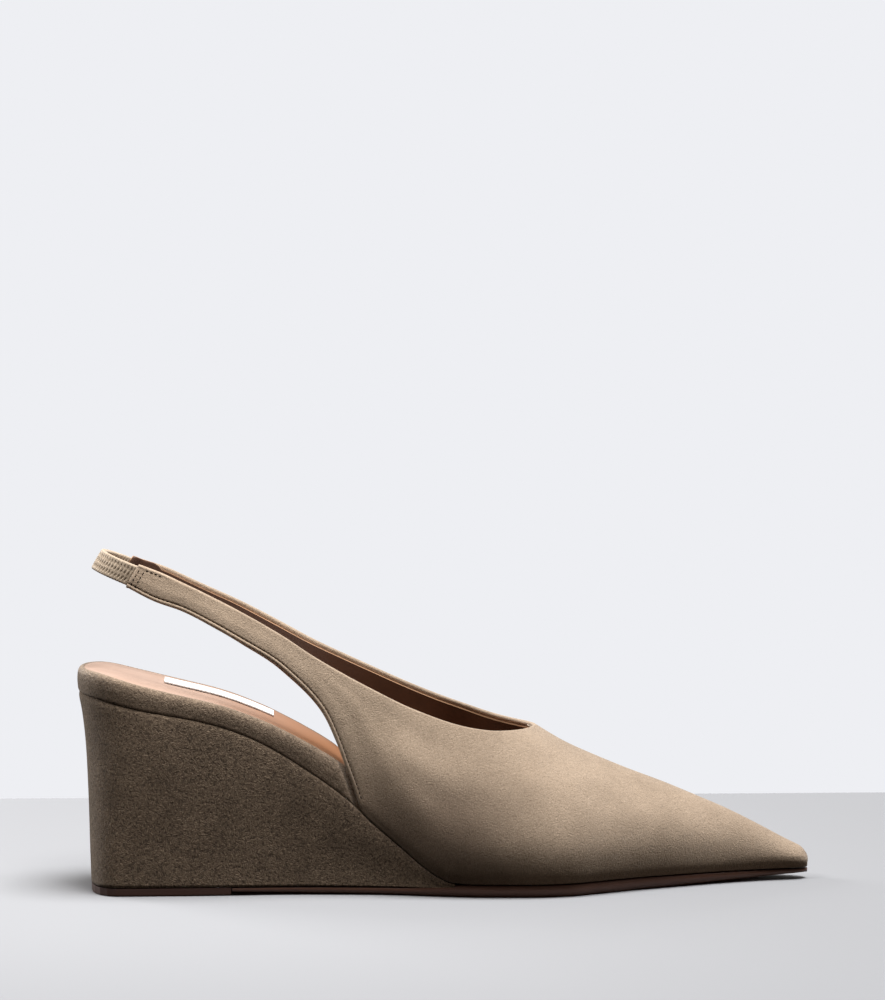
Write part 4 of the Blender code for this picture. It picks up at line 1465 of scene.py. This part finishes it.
dressed(upper_suede, upper_look, "suede", "upper")
dressed(upper_lining, None, "lining")
dressed(upper_stitching, thread_look, "thread")
dressed(elastic_gathered, elastic_look, "elastic_suede", "elastic_strap")
dressed(platform_suede, band_look, "wedge_suede", "platform")
dressed(wedge_suede, wedge_look, "wedge_suede", "wedge")
dressed(insole_leather, insole_look, "insole_leather", "insole")
dressed(sole_leather, sole_look, "sole_leather", "outsole")
for node, look in (("top_piece", top_piece_look), ("label_patch", patch_look)):
    piece = frame["nodes"][node]
    piece.data.materials.clear()
    piece.data.materials.append(look)


# Stage, light and camera
PALE = (0.855, 0.863, 0.896)                    # the backdrop that the camera sees
GLOW_LOW, GLOW_HIGH = (0.040, 0.033, 0.028), (0.37, 0.355, 0.34)
GLOW_FROM = (0.15, 0.50, 0.85)                  # where the studio's soft light comes from
FLOOR = 60                                      # size of the floor
FLOOR_BACK = 0.217                              # from the shoe's middle to its far edge
EYE, AIM = (-0.06814, -1.28605, 0.2059), (-0.00097, 0, 0.13085)
LENS, SENSOR = 136.54, 36

deselect()
bpy.ops.mesh.primitive_plane_add(size=FLOOR, location=(0, 0, 0))
floor = bpy.context.object
floor.name = "floor"
bpy.ops.object.mode_set(mode="EDIT")
bpy.ops.transform.translate(value=(0, FLOOR_BACK - FLOOR / 2, 0))
bpy.ops.object.mode_set(mode="OBJECT")
floor.visible_diffuse = False
floor_material = bpy.data.materials.new("floor")
floor_look = Look(floor_material)
floor_shader = floor_look.tree.nodes["Principled BSDF"]
floor_look.put(floor_shader.inputs["Base Color"], (0.375, 0.381, 0.40))
floor_look.put(floor_shader.inputs["Roughness"], 0.6)
floor_look.put(floor_shader.inputs["Specular IOR Level"], 0.1)
floor.data.materials.append(floor_material)

scene = bpy.context.scene
scene.view_settings.view_transform = "Standard"
studio = bpy.data.worlds.new("studio")
scene.world = studio
air = Look(studio)
direction = air.node("ShaderNodeTexCoord", out=0)
dome = air.node("ShaderNodeVectorMath", {"operation": "DOT_PRODUCT"},
                [direction, GLOW_FROM], 1).between(0.0, 0.95)
glow = air.mix(dome, GLOW_LOW, GLOW_HIGH)
backdrop = air.tree.nodes["Background"]
air.put(backdrop.inputs["Color"], glow)
seen = air.node("ShaderNodeBackground", None, {"Color": PALE, "Strength": 1.0})
direct = air.node("ShaderNodeLightPath", out=0)
both = air.tree.nodes.new("ShaderNodeMixShader")
air.put(both.inputs[0], direct)
air.tree.links.new(backdrop.outputs[0], both.inputs[1])
air.tree.links.new(seen.socket, both.inputs[2])
air.tree.links.new(both.outputs[0], air.tree.nodes["World Output"].inputs["Surface"])


def turned_to(place, aim):
    """The turn with which a lamp or camera at a place looks at its aim."""
    return (Vector(aim) - Vector(place)).to_track_quat("-Z", "Y").to_euler()


def lamp(name, kind, place, aim, strength, colour, **sizes):
    """A lamp that the camera doesn't see."""
    data = bpy.data.lights.new(name, kind)
    data.energy, data.color = strength, colour
    for key, value in sizes.items():
        setattr(data, key, value)
    piece = bpy.data.objects.new(name, data)
    scene.collection.objects.link(piece)
    piece.location = place
    piece.visible_camera = False
    piece.rotation_euler = turned_to(place, aim)


lamp("key", "SUN", (0.20, -0.03, 0.97), (0, 0, 0), 3.95, (1.0, 0.995, 0.99), angle=radians(28))
lamp("strap", "AREA", (-0.085, -0.075, 0.25), (-0.07, -0.03, 0.10), 0.30, (1.0, 0.985, 0.96),
     shape="SQUARE", size=0.08)
lamp("rim", "AREA", (-0.70, 0.45, 0.42), (-0.1, 0, 0.06), 4.6, (1.0, 0.99, 0.98), shape="SQUARE",
     size=0.4)

eye = bpy.data.cameras.new("camera")
camera = bpy.data.objects.new("camera", eye)
scene.collection.objects.link(camera)
scene.camera = camera
camera.location = EYE
camera.rotation_euler = turned_to(EYE, AIM)
eye.sensor_width = SENSOR
eye.lens = LENS
eye.clip_start = 0.01
